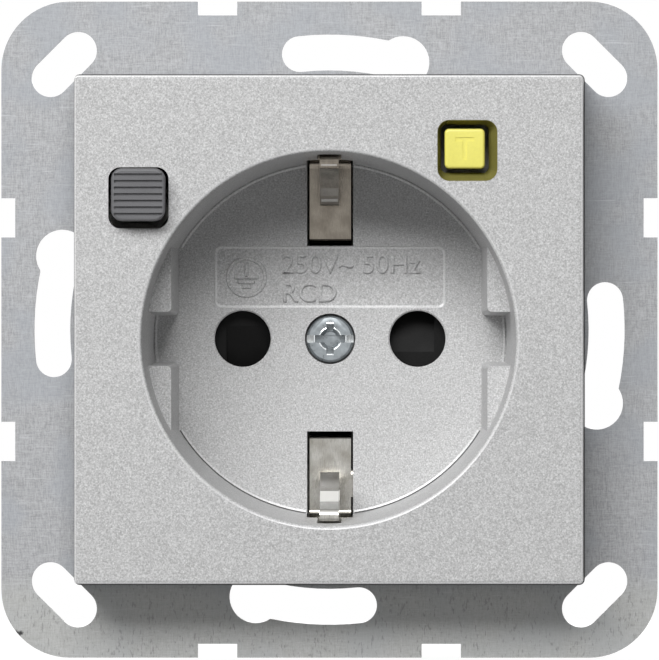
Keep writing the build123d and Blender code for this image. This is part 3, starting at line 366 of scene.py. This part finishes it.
def add_floor():
    """A pale disc under the frame that glows for the camera and in reflections."""
    mesh = bpy.data.meshes.new("floor")
    shape = bmesh.new()
    bmesh.ops.create_circle(shape, cap_ends=True, segments=FLOOR_SIDES, radius=FLOOR_RADIUS)
    shape.to_mesh(mesh)
    shape.free()
    floor = add_object("floor", mesh)
    floor.location.z = FLOOR_HEIGHT
    material = bpy.data.materials.new("floor")
    material.use_nodes = True
    tree = material.node_tree
    tree.nodes.clear()
    output = tree.nodes.new("ShaderNodeOutputMaterial")
    plain = tree.nodes.new("ShaderNodeBsdfDiffuse")
    plain.inputs["Color"].default_value = (*grey(FLOOR_SHADE), 1.0)
    glow = tree.nodes.new("ShaderNodeEmission")
    glow.inputs["Strength"].default_value = FLOOR_GLOW
    add = tree.nodes.new("ShaderNodeAddShader")
    mix = tree.nodes.new("ShaderNodeMixShader")
    tree.links.new(plain.outputs[0], add.inputs[0])
    tree.links.new(glow.outputs[0], add.inputs[1])
    tree.links.new(bright_rays(tree), mix.inputs["Fac"])
    tree.links.new(plain.outputs[0], mix.inputs[1])
    tree.links.new(add.outputs[0], mix.inputs[2])
    tree.links.new(mix.outputs[0], output.inputs["Surface"])
    mesh.materials.append(material)


# Node helpers

class Shader:
    """A material with a Principled shader, kept in looks by name, and short calls for its nodes."""

    def __init__(self, name, color, roughness=0.5, metallic=0.0, **more):
        material = bpy.data.materials.new(name)
        material.use_nodes = True
        looks[name] = material
        self.tree = material.node_tree
        self.bsdf = self.tree.nodes["Principled BSDF"]
        self.bsdf.inputs["Base Color"].default_value = (*color, 1.0)
        self.bsdf.inputs["Roughness"].default_value = roughness
        self.bsdf.inputs["Metallic"].default_value = metallic
        for key, value in more.items():
            socket = key.replace("_", " ").title().replace("Ior", "IOR")
            self.bsdf.inputs[socket].default_value = value
        self.place = self.tree.nodes.new("ShaderNodeTexCoord").outputs["Object"]

    def link(self, source, target):
        self.tree.links.new(source, target)

    def stretched(self, stretch):
        node = self.tree.nodes.new("ShaderNodeMapping")
        node.inputs["Scale"].default_value = stretch
        self.link(self.place, node.inputs["Vector"])
        return node.outputs["Vector"]

    def noise(self, size, detail=2.0, stretch=None, rough=0.5):
        """Noise whose features are about size metres wide."""
        node = self.tree.nodes.new("ShaderNodeTexNoise")
        node.inputs["Scale"].default_value = 1.0 / size
        node.inputs["Detail"].default_value = detail
        node.inputs["Roughness"].default_value = rough
        self.link(self.stretched(stretch) if stretch else self.place, node.inputs["Vector"])
        return node.outputs["Fac"]

    def cells(self, size):
        """Cells about size metres wide, each with its own value."""
        node = self.tree.nodes.new("ShaderNodeTexVoronoi")
        node.inputs["Scale"].default_value = 1.0 / size
        self.link(self.place, node.inputs["Vector"])
        return node.outputs["Color"]

    def spread(self, value, low, high, to_low=0.0, to_high=1.0):
        """The value between low and high, carried over to between to_low and to_high."""
        node = self.tree.nodes.new("ShaderNodeMapRange")
        node.inputs["From Min"].default_value = low
        node.inputs["From Max"].default_value = high
        node.inputs["To Min"].default_value = to_low
        node.inputs["To Max"].default_value = to_high
        self.link(value, node.inputs["Value"])
        return node.outputs["Result"]

    def swing(self, noise, to_low=0.0, to_high=1.0, reach=0.2):
        """A noise that varies about a half, spread over the given range."""
        return self.spread(noise, 0.5 - reach, 0.5 + reach, to_low, to_high)

    def math(self, kind, first, second=0.0):
        node = self.tree.nodes.new("ShaderNodeMath")
        node.operation = kind
        for index, value in enumerate((first, second)):
            if isinstance(value, (int, float)):
                node.inputs[index].default_value = value
            else:
                self.link(value, node.inputs[index])
        return node.outputs[0]

    def mix(self, factor, first, second, kind="MIX"):
        node = self.tree.nodes.new("ShaderNodeMix")
        node.data_type = "RGBA"
        node.blend_type = kind
        inputs = [s for s in node.inputs if s.enabled]
        for socket, value in zip(inputs, (factor, first, second)):
            if isinstance(value, tuple):
                socket.default_value = (*value, 1.0)
            elif isinstance(value, (int, float)):
                socket.default_value = value
            else:
                self.link(value, socket)
        return [s for s in node.outputs if s.enabled][0]

    def color(self, value):
        self.link(value, self.bsdf.inputs["Base Color"])

    def roughness(self, value):
        self.link(value, self.bsdf.inputs["Roughness"])

    def bump(self, height, depth):
        node = self.tree.nodes.new("ShaderNodeBump")
        node.inputs["Distance"].default_value = depth
        node.inputs["Strength"].default_value = 1.0
        self.link(height, node.inputs["Height"])
        self.link(node.outputs["Normal"], self.bsdf.inputs["Normal"])

    def split(self):
        node = self.tree.nodes.new("ShaderNodeSeparateXYZ")
        self.link(self.place, node.inputs[0])
        return node.outputs

    def near(self, place, centre, radius, softness=0.25, ragged=0.4):
        """1 inside an uneven spot about centre (x, z) of the face, 0 outside it."""
        across = self.math("SUBTRACT", place["X"], centre[0])
        up = self.math("SUBTRACT", place["Z"], centre[1])
        squares = self.math("ADD", self.math("MULTIPLY", across, across), self.math("MULTIPLY", up, up))
        wander = self.swing(self.noise(radius), -ragged * radius, ragged * radius)
        far = self.math("ADD", self.math("SQRT", squares), wander)
        return self.spread(far, radius * (1.0 + softness), radius * (1.0 - softness))

    def bands(self, place, rows):
        """The strongest of some soft-edged bands across the face, 0 outside them."""
        side = self.math("ABSOLUTE", place["X"])
        total = 0.0
        for low, high, half_width, soft, strength in rows:
            above = self.spread(place["Z"], (low - soft) * MM, (low + soft) * MM)
            below = self.spread(place["Z"], (high + soft) * MM, (high - soft) * MM)
            outside, inside = (half_width + BAND_SIDE) * MM, (half_width - BAND_SIDE) * MM
            across = self.spread(side, outside, inside, 0.0, strength)
            band = self.math("MULTIPLY", self.math("MULTIPLY", above, below), across)
            total = self.math("MAXIMUM", total, band)
        return total


# Materials

def either_side(color, change):
    """A darker and a lighter neighbour of a colour."""
    darker = tuple(level * (1.0 - change) for level in color)
    lighter = tuple(min(1.0, level * (1.0 + change)) for level in color)
    return darker, lighter


def cover_lacquer():
    """Light grey lacquer with a fine grain and metallic flakes."""
    s = Shader("cover_lacquer", (0.58, 0.58, 0.585),
               specular_ior_level=0.1, coat_weight=0.2, coat_roughness=0.18)
    grain = s.noise(LACQUER_GRAIN)
    shade = s.mix(s.swing(grain), LACQUER_DARK, LACQUER_LIGHT)
    flake = s.spread(s.cells(FLAKE_SIZE), 0.0, 1.0, 1.0 - FLAKE_SHARE, 1.0 + FLAKE_SHARE)
    s.color(s.mix(1.0, shade, flake, "MULTIPLY"))
    s.roughness(s.swing(grain, 0.42, 0.58))
    s.bump(grain, 0.02 * MM)


def lacquer_edge():
    """The cover's lacquer, glossier and lighter for strips over edges; the lighter colour is a painted
    highlight.
    """
    s = Shader("lacquer_edge", (0.66, 0.66, 0.665), 0.3,
               specular_ior_level=0.45, coat_weight=0.3, coat_roughness=0.15)
    grain = s.noise(LACQUER_GRAIN)
    s.color(s.mix(s.swing(grain), EDGE_HIGHLIGHT_DARK, EDGE_HIGHLIGHT_LIGHT))
    s.roughness(s.swing(grain, 0.24, 0.34))
    s.bump(grain, 0.006 * MM)


def frame_zinc():
    """Brushed zinc with patches, scratches, a warm speckled band at the bottom and one worn spot."""
    s = Shader("frame_zinc", grey(0.5), 0.5, 0.25)
    place = s.split()
    across = s.noise(BRUSH_SIZE, 3.0, (1.0, 1.0, 9.0), 0.6)
    down = s.noise(BRUSH_SIZE, 3.0, (9.0, 1.0, 1.0), 0.6)
    fine = s.noise(ZINC_GRAIN, 1.0)
    weave = s.math("ADD", s.math("MULTIPLY", across, 0.35), s.math("MULTIPLY", down, 0.45))
    weave = s.math("ADD", weave, s.math("MULTIPLY", fine, 0.2))
    shade = s.mix(s.swing(weave, reach=0.12), ZINC_DARK, ZINC_LIGHT)
    patch = s.spread(s.noise(PATCH_SIZE), 0.42, 0.6)
    shade = s.mix(s.math("MULTIPLY", patch, PATCH_SHARE), shade, ZINC_PATCH)
    scratch = s.spread(s.noise(SCRATCH_SIZE, 2.0, (0.5, 1.0, 14.0), 0.55), 0.66, 0.74)
    shade = s.mix(s.math("MULTIPLY", scratch, SCRATCH_SHARE), shade, ZINC_SCRATCH)
    low = s.spread(place["Z"], *LOW_BAND)
    shade = s.mix(s.math("MULTIPLY", low, LOW_SHARE), shade, ZINC_LOW)
    speck = s.spread(s.noise(SPECK_SIZE, 2.0, (2.2, 1.0, 0.7), 0.55), 0.60, 0.68)
    speck = s.math("MULTIPLY", speck, s.spread(low, 0.0, 1.0, *SPECK_SHARE))
    shade = s.mix(speck, shade, ZINC_SPECK)
    s.color(s.mix(s.near(place, CHIP_PLACE, CHIP_RADIUS), shade, ZINC_WORN))
    s.roughness(s.swing(weave, 0.42, 0.60, 0.12))
    s.bump(weave, 0.02 * MM)


def clip_nickel():
    """Streaked nickel, with painted shade on the upper clip and painted highlights and painted shade in
    bands on the tongues.
    """
    s = Shader("clip_nickel", (0.60, 0.56, 0.49), 0.16, 1.0)
    place = s.split()
    streak = s.noise(STREAK_SIZE, 3.0, (5.0, 1.0, 0.6), 0.6)
    patch = s.noise(NICKEL_PATCH_SIZE, 3.0)
    bright = s.mix(s.swing(patch, reach=0.15), NICKEL_DARK, NICKEL_LIGHT)
    upper_shade = s.mix(s.swing(patch, reach=0.15), UPPER_SHADE_DARK, UPPER_SHADE_LIGHT)
    # Painted shade: the upper clip darker and browner than the lower one
    shade = s.mix(s.spread(place["Z"], *UPPER_SHADE), bright, upper_shade)
    shade = s.mix(1.0, shade, s.swing(streak, 0.78, 1.12, 0.25), "MULTIPLY")
    # Painted shade at the top of the lower clip's tongue
    shade = s.mix(s.bands(place, SHADED), shade, NICKEL_SHADED)
    # Painted highlights on the tongues: nearly white and less metallic, so that the lamps light them
    # brightly
    highlight = s.bands(place, TONGUE_HIGHLIGHTS)
    s.color(s.mix(highlight, shade, NICKEL_HIGHLIGHT))
    s.link(s.spread(highlight, 0.0, 1.0, 1.0, 0.25), s.bsdf.inputs["Metallic"])
    s.roughness(s.swing(patch, 0.12, 0.24))
    s.bump(streak, 0.008 * MM)


def plated(name, color, roughness, streak_size=0.4 * MM, change=0.2, metallic=1.0, finish=None):
    """Plated metal with soft patches. The finish may change its colour further, as with the painted
    highlights at the cover screw's slot.
    """
    s = Shader(name, color, roughness, metallic)
    patch = s.noise(streak_size, 3.0)
    shade = s.mix(s.swing(patch, reach=0.15), *either_side(color, change))
    s.color(finish(s, shade) if finish else shade)
    s.roughness(s.swing(patch, roughness * 0.8, roughness * 1.25))
    s.bump(patch, 0.01 * MM)


def painted_slot_highlight(s, shade):
    """Painted highlights, faintly ribbed, at the two ends of the cover screw's slot."""
    place = s.split()
    side = s.math("ABSOLUTE", place["X"])
    level = s.math("ABSOLUTE", s.math("SUBTRACT", place["Z"], SOCKET_CENTRE[1]))
    ends = s.math("MULTIPLY", s.spread(side, *SHINE_FROM), s.spread(side, *SHINE_TO))
    ends = s.math("MULTIPLY", ends, s.spread(level, *SHINE_HEIGHT))
    ribs = s.swing(s.noise(RIB_SIZE, 1.0, (3.0, 1.0, 0.4)), 0.5, 1.0, 0.15)
    return s.mix(s.math("MULTIPLY", ends, ribs), shade, SLOT_HIGHLIGHT)


def moulded(name, color, roughness=0.5, grain_size=0.18 * MM, depth=0.01 * MM, change=0.12, gloss=0.5):
    """Moulded plastic or another plain body colour, with a fine grain and soft clouds."""
    s = Shader(name, color, roughness, specular_ior_level=gloss)
    grain = s.noise(grain_size)
    cloud = s.noise(CLOUD_SIZE)
    both = s.math("ADD", s.math("MULTIPLY", grain, 0.6), s.math("MULTIPLY", cloud, 0.4))
    s.color(s.mix(s.swing(both, reach=0.15), *either_side(color, change)))
    s.roughness(s.swing(cloud, roughness * 0.9, roughness * 1.12))
    s.bump(grain, depth)


def dress():
    """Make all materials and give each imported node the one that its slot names."""
    cover_lacquer()
    lacquer_edge()
    frame_zinc()
    clip_nickel()
    # The cover screw, with painted highlights at the ends of its slot
    plated("screw_zinc", (0.27, 0.295, 0.31), 0.30, 0.9 * MM, 0.16, 0.45, painted_slot_highlight)
    # Bright metal of the rim round the screw's recess, which paints the highlights of the recess's edges
    plated("screw_bright", (0.74, 0.77, 0.78), 0.18, 0.3 * MM)
    plated("spring_steel", grey(0.50), 0.3)
    plated("contact_brass", (0.72, 0.52, 0.22), 0.3)
    plated("copper", (0.75, 0.36, 0.20), 0.32)
    moulded("reset_grey", (0.118, 0.118, 0.124), grain_size=0.15 * MM)
    moulded("test_yellow", (0.84, 0.78, 0.17), 0.35, 0.2 * MM, 0.004 * MM, 0.03)
    moulded("shutter_black", grey(0.010), gloss=0.08)
    moulded("housing_white", (0.72, 0.71, 0.66), 0.45)
    moulded("works_brown", (0.16, 0.08, 0.05))
    moulded("core_iron", (0.07, 0.07, 0.08), 0.55)
    moulded("board_green", (0.03, 0.16, 0.07), 0.35)
    moulded("part_blue", (0.05, 0.12, 0.38), 0.3)
    moulded("part_grey", (0.20, 0.20, 0.21))
    # Dark grey; the strip round the cover and the line at the recess's foot use it as painted shadow
    moulded("seal_grey", grey(0.10), 0.6, gloss=0.2)
    # Olive tint of the pocket lining: a painted reflection of the yellow button on a dark lining
    moulded("bezel_dark", (0.215, 0.20, 0.06), 0.22, 0.2 * MM, 0.004 * MM, 0.08)
    for row in frame["record"]["subparts"]:
        mesh = nodes[row["node"]].data
        mesh.materials.clear()
        mesh.materials.append(looks[row["material_slot"]])


# Shapes

def spoke(centre, reach, turn, depth):
    """The point at a reach from centre (x, z), in the direction turn and at the given depth."""
    return Vector((centre[0] + reach * math.cos(turn), depth, centre[1] + reach * math.sin(turn)))


def around(centre, radius, depth, count):
    """Points evenly spaced on a circle about centre (x, z)."""
    return [spoke(centre, radius, 2 * math.pi * step / count, depth) for step in range(count)]


def rounded(width, height, radius, depth, centre=(0.0, 0.0), steps=6):
    """Points of a rounded rectangle in the plane y = depth, about centre (x, z)."""
    points = []
    for corner, (side_x, side_z) in enumerate(((1, 1), (-1, 1), (-1, -1), (1, -1))):
        middle = (centre[0] + side_x * (width / 2 - radius), centre[1] + side_z * (height / 2 - radius))
        for step in range(steps + 1):
            angle = math.radians(90.0 * (corner + step / steps))
            points.append(spoke(middle, radius, angle, depth))
    return points


def arm(size, turn, depth):
    """Corners of a slot turned about the socket's centre. Its size is half length and half width."""
    long, wide = size
    cos, sin = math.cos(turn), math.sin(turn)
    corners = ((long, wide), (-long, wide), (-long, -wide), (long, -wide))
    return [Vector((SOCKET_CENTRE[0] + a * cos - b * sin, depth, SOCKET_CENTRE[1] + a * sin + b * cos))
            for a, b in corners]


def strip_section(radius, skin, face, root):
    """Section of a thin strip over a rounding, as distances outward and forward from its centre."""
    corners = [(radius + skin, angle) for angle in face] + [(radius - ROOT_DEPTH, angle) for angle in root]
    return [(reach * math.cos(math.radians(angle)), reach * math.sin(math.radians(angle)))
            for reach, angle in corners]


def wrap(shape, rows):
    """Faces from each closed row of corners to the next."""
    count = len(rows[0])
    for row, following in zip(rows, rows[1:]):
        for index in range(count):
            after = (index + 1) % count
            shape.faces.new((row[index], row[after], following[after], following[index]))


def hoop(shape, loops):
    """A closed ring whose section has one corner on each loop of points."""
    rows = [[shape.verts.new(point) for point in loop] for loop in loops]
    wrap(shape, rows + rows[:1])


def sweep(shape, sections):
    """A closed solid through sections of as many points, capped at both ends."""
    rows = [[shape.verts.new(point) for point in section] for section in sections]
    wrap(shape, rows)
    shape.faces.new(rows[0][::-1])
    shape.faces.new(rows[-1])


def swept(*sections):
    """A new shape that is one sweep."""
    shape = bmesh.new()
    sweep(shape, sections)
    return shape


def bar(shape, low, high, front, back, slant):
    """A straight bar from corner low to corner high, as (x, z), its sides sloped outward to the back."""
    sections = []
    for depth, grow in ((front, 0.0), (back, slant)):
        left, right = low[0] - grow, high[0] + grow
        under, over = low[1] - grow, high[1] + grow
        corners = ((left, under), (right, under), (right, over), (left, over))
        sections.append([Vector((x, depth, z)) for x, z in corners])
    sweep(shape, sections)


def finished(name, shape):
    """The mesh of a shape, its faces turned outward."""
    bmesh.ops.recalc_face_normals(shape, faces=shape.faces)
    mesh = bpy.data.meshes.new(name)
    shape.to_mesh(mesh)
    shape.free()
    return mesh


def build(name, shape, look, smooth=False):
    """A piece with a shape and a look that rides on the root."""
    mesh = finished(name, shape)
    mesh.materials.append(looks[look])
    if smooth:
        mesh.polygons.foreach_set("use_smooth", [True] * len(mesh.polygons))
        mesh.set_sharp_from_angle(angle=SHARP_BUILT)
    piece = add_object(name, mesh)
    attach(piece, "root")


def carved(name, node, cutters, body, slot, smooth):
    """A copy of a node with the cutters' shapes taken out and its edges eased."""
    mesh = nodes[node].data.copy()
    shape = bmesh.new()
    shape.from_mesh(mesh)
    bmesh.ops.remove_doubles(shape, verts=shape.verts, dist=MERGE)
    shape.to_mesh(mesh)
    shape.free()
    if "custom_normal" in mesh.attributes:
        mesh.attributes.remove(mesh.attributes["custom_normal"])
    piece = add_object(name, mesh)
    tools = []
    for index, cutter in enumerate(cutters):
        tool_name = f"{name}_cutter_{index}"
        tool = add_object(tool_name, finished(tool_name, cutter))
        tools.append(tool)
        cut = piece.modifiers.new("cut", "BOOLEAN")
        cut.operation = "DIFFERENCE"
        cut.solver = "EXACT"
        cut.object = tool
    ease = piece.modifiers.new("ease", "BEVEL")
    ease.width = EASED
    ease.segments = 1
    ease.limit_method = "ANGLE"
    ease.angle_limit = EASED_ANGLE
    graph = bpy.context.evaluated_depsgraph_get()
    made = bpy.data.meshes.new_from_object(piece.evaluated_get(graph))
    piece.modifiers.clear()
    piece.data = made
    made.name = name
    for tool in tools:
        bpy.data.objects.remove(tool)
    made.materials.clear()
    made.materials.append(looks[slot])
    made.polygons.foreach_set("use_smooth", [smooth] * len(made.polygons))
    made.set_sharp_from_angle(angle=SHARP_CARVED)
    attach(piece, body)
    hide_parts(node)


# Added pieces

def recess_reach(turn):
    """Radius of the driver recess's outline, a round well with four arms, in a direction."""
    reach = WELL_RADIUS
    for quarter in range(4):
        across = turn - math.radians(90.0 * quarter)
        if math.cos(across) > SMALLEST:
            end = ARM_LENGTH / math.cos(across)
            side = ARM_WIDTH / 2 / max(abs(math.sin(across)), SMALLEST)
            reach = max(reach, min(end, side))
    return reach


def add_screw_head():
    """The cover screw with a driver recess over its slot."""
    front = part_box("cover_screw")[0].y
    start = front - CUTTER_START
    arm_mouth = (ARM_LENGTH + FLARE, ARM_WIDTH / 2)
    slots = [(turn, arm_mouth, ARM_FOOT, ARM_DEPTH) for turn in ARM_TURNS]
    slots += [(turn, MARK_MOUTH, MARK_FOOT, MARK_DEPTH) for turn in MARK_TURNS]
    cutters = []
    for turn, mouth, foot, depth in slots:
        angle = math.radians(turn)
        cutters.append(swept(arm(mouth, angle, start), arm(foot, angle, front + depth)))
    cutters.append(swept(around(SOCKET_CENTRE, WELL_RADIUS + FLARE, start, WELL_SIDES),
                         around(SOCKET_CENTRE, WELL_FOOT, front + WELL_DEPTH, WELL_SIDES)))
    carved("cover_screw_head", "cover_screw", cutters, "root", "screw_zinc", smooth=False)


def add_screw_rim():
    """Rim raised round the driver recess, in bright metal that paints the highlights on the recess's
    edges.
    """
    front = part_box("cover_screw")[0].y
    loops = []
    for grow, rise in RIM_SECTION:
        loop = []
        for step in range(RIM_STEPS):
            turn = 2 * math.pi * step / RIM_STEPS
            loop.append(spoke(SOCKET_CENTRE, recess_reach(turn) + grow * MM, turn, front - rise * MM))
        loops.append(loop)
    shape = bmesh.new()
    hoop(shape, loops)
    build("cover_screw_rim", shape, "screw_bright")


def add_test_letter():
    """The test button with its letter T sunk into the cap."""
    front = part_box("test_button")[0].y
    x, z = TEST_CAP_CENTRE
    end, stem, under = LETTER_WIDTH / 2, LETTER_STEM / 2, LETTER_TOP - LETTER_STROKE
    outline = ((-end, LETTER_TOP), (-end, under), (-stem, under), (-stem, LETTER_FOOT),
               (stem, LETTER_FOOT), (stem, under), (end, under), (end, LETTER_TOP))
    sections = [[Vector((x + across, depth, z + up)) for across, up in outline]
                for depth in (front - CUTTER_START, front + LETTER_DEPTH)]
    carved("test_button_cap", "test_button", [swept(*sections)], "test_button", "test_yellow", smooth=True)


def add_springs():
    """Copies of the coil springs that ride on the root in place of the imported ones; they don't shorten.
    """
    joints = frame["record"]["behaviour"]["joints"]
    travels = {joint["name"]: joint["range_m"][1] for joint in joints if "range_m" in joint}
    travels["latch_swing"] = LATCH_SPRING_TRAVEL
    for node, joint, axis in SPRINGS:
        piece = add_object(f"{node}_coil", nodes[node].data.copy())
        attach(piece, "root")
        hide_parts(node)
        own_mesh(piece)


def add_cover_shadow_line():
    """Narrow dark strip between the cover and the frame, a painted shadow line in the gap."""
    outer = COVER_SIZE + 2 * SHADOW_LINE_OUTWARD
    inner = COVER_SIZE - 2 * SHADOW_LINE_INWARD
    front = FRAME_FRONT - SHADOW_LINE_RISE
    section = ((outer, SHADOW_LINE_OUTER_ROUND, FRAME_FRONT), (outer, SHADOW_LINE_OUTER_ROUND, front),
               (inner, SHADOW_LINE_INNER_ROUND, front), (inner, SHADOW_LINE_INNER_ROUND, FRAME_FRONT))
    shape = bmesh.new()
    hoop(shape, [rounded(size, size, radius, depth, steps=SHADOW_LINE_STEPS) for size, radius, depth in section])
    build("cover_shadow_line", shape, "seal_grey")


def add_test_bezel():
    """Dark glossy lining of the sloped pocket round the test button; its olive tint is a painted
    reflection of the yellow button.
    """
    wide, tall = (size - LINING_GAP for size in TEST_OPENING)
    mouth = (wide, tall, LINING_MOUTH_ROUND, COVER_FRONT + LINING_START, TEST_CENTRE)
    foot = (LINING_FOOT, LINING_FOOT, LINING_FOOT_ROUND, COVER_FRONT + LINING_DEPTH, TEST_CAP_CENTRE)
    loops = []
    for (width, height, radius, depth, centre), skin in (
            (mouth, 0.0), (mouth, LINING_SKIN), (foot, LINING_SKIN), (foot, 0.0)):
        loops.append(rounded(width - 2 * skin, height - 2 * skin, radius - skin, depth, centre))
    shape = bmesh.new()
    hoop(shape, loops)
    build("test_bezel", shape, "bezel_dark")


def add_mouth_lip():
    """Lighter, smoother lacquer over the rounded lip of the recess's mouth; the lighter colour is a
    painted highlight.
    """
    shape = bmesh.new()
    hoop(shape, [around(SOCKET_CENTRE, MOUTH_RADIUS + LIP_ROUND - outward,
                        COVER_FRONT + LIP_ROUND - forward, LIP_STEPS)
                 for outward, forward in strip_section(LIP_ROUND, LIP_SKIN, LIP_FACE, LIP_ROOT)])
    build("mouth_lip", shape, "lacquer_edge", smooth=True)


def add_cover_edge():
    """Lighter, smoother lacquer over the cover's rounded outer edge; the lighter colour is a painted
    highlight.
    """
    shape = bmesh.new()
    loops = []
    for outward, forward in strip_section(EDGE_ROUND, EDGE_SKIN, EDGE_FACE, EDGE_ROOT):
        size = COVER_SIZE + 2 * (outward - EDGE_ROUND)
        loops.append(rounded(size, size, CORNER_ROUND - EDGE_ROUND + outward,
                             COVER_FRONT + EDGE_ROUND - forward))
    hoop(shape, loops)
    build("cover_edge", shape, "lacquer_edge", smooth=True)


def add_recess_foot(name, section, look, arcs):
    """A strip along the foot of the recess's wall, on the given arcs of both sides."""
    corners = [(FLOOR_REACH + reach * MM, FLOOR_FRONT + depth * MM) for reach, depth in section]
    shape = bmesh.new()
    for side in (1, -1):
        for start, end in arcs:
            sections = []
            for step in range(FOOT_STEPS + 1):
                from_top = start + (end - start) * step / FOOT_STEPS
                turn = math.radians(90.0 - side * from_top)
                sections.append([spoke(SOCKET_CENTRE, reach, turn, depth) for reach, depth in corners])
            sweep(shape, sections)
    build(name, shape, look)


def add_clip_corner(name, side):
    """The sharp inner corner of an earth clip's strap, seen in its window."""
    corners = [(depth * MM, SOCKET_CENTRE[1] + side * reach * MM) for depth, reach in CLIP_CORNER]
    ends = [[Vector((x, y, z)) for y, z in corners] for x in (-STRAP_WIDTH / 2, STRAP_WIDTH / 2)]
    build(name, swept(*ends), "clip_nickel")


def add_panel_edge():
    """Sloped edge of the marking panel, in the lighter edge lacquer whose lighter colour is a painted
    highlight.
    """
    middle = (0.0, (PANEL_LOW + PANEL_HIGH) / 2)
    wide = PANEL_WIDTH - PANEL_GAP
    tall = PANEL_HIGH - PANEL_LOW - PANEL_GAP
    shape = bmesh.new()
    hoop(shape, [rounded(wide - inset, tall - inset, radius, PANEL_FLOOR + depth, middle)
                 for inset, radius, depth in PANEL_SECTION])
    build("panel_edge", shape, "lacquer_edge")


def add_panel_words(name, words, height):
    """Raised letters on the marking panel."""
    curve = bpy.data.curves.new(name, "FONT")
    curve.body = words
    curve.size = WORDS_SIZE
    curve.extrude = WORDS_RISE
    curve.offset = -WORDS_THINNED
    curve.bevel_depth = WORDS_BEVEL
    curve.bevel_resolution = 1
    curve.resolution_u = 4
    curve.materials.append(looks["cover_lacquer"])
    piece = add_object(name, curve)
    piece.location = (WORDS_LEFT, PANEL_FLOOR, height)
    piece.rotation_euler = (math.radians(90), 0.0, 0.0)
    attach(piece, "root")


def add_earth_sign():
    """Raised earth sign in its ring on the marking panel."""
    x, z = SIGN_CENTRE
    front = PANEL_FLOOR - SIGN_RISE
    back = PANEL_FLOOR + SUNK
    inner = SIGN_RADIUS - SIGN_LINE
    half_line = SIGN_LINE / 2
    shape = bmesh.new()
    ring = ((SIGN_RADIUS, front), (SIGN_RADIUS + SIGN_SLANT, back),
            (inner - SIGN_SLANT, back), (inner, front))
    hoop(shape, [around(SIGN_CENTRE, radius, depth, SIGN_SIDES) for radius, depth in ring])
    bar(shape, (x - half_line, z), (x + half_line, z + SIGN_STEM), front, back, SIGN_SLANT)
    for half, drop in SIGN_BARS:
        top = z - drop + half_line
        bar(shape, (x - half, top - SIGN_LINE), (x + half, top), front, back, SIGN_SLANT)
    build("panel_earth_sign", shape, "cover_lacquer")


add_camera()
add_area("key", KEY_PLACE, KEY_WIDTH, KEY_HEIGHT, KEY_POWER)
add_area("back", BACK_PLACE, BACK_WIDTH, BACK_HEIGHT, BACK_POWER)
add_world()
add_floor()
dress()
add_screw_head()
add_screw_rim()
add_test_letter()
add_springs()
add_cover_shadow_line()
add_test_bezel()
add_mouth_lip()
add_cover_edge()
# Ridge at the recess's foot in the lighter edge lacquer, a painted highlight
add_recess_foot("recess_foot", RIDGE_SECTION, "lacquer_edge", FOOT_ARCS)
# Dark line at the bottom of the recess's foot, a painted shadow
add_recess_foot("recess_shadow_line", RECESS_SHADOW_SECTION, "seal_grey", FOOT_ARCS[-1:])
add_clip_corner("clip_corner_top", 1)
add_clip_corner("clip_corner_bottom", -1)
add_panel_edge()
for name, words, height in PANEL_WORDS:
    add_panel_words(name, words, height)
add_earth_sign()
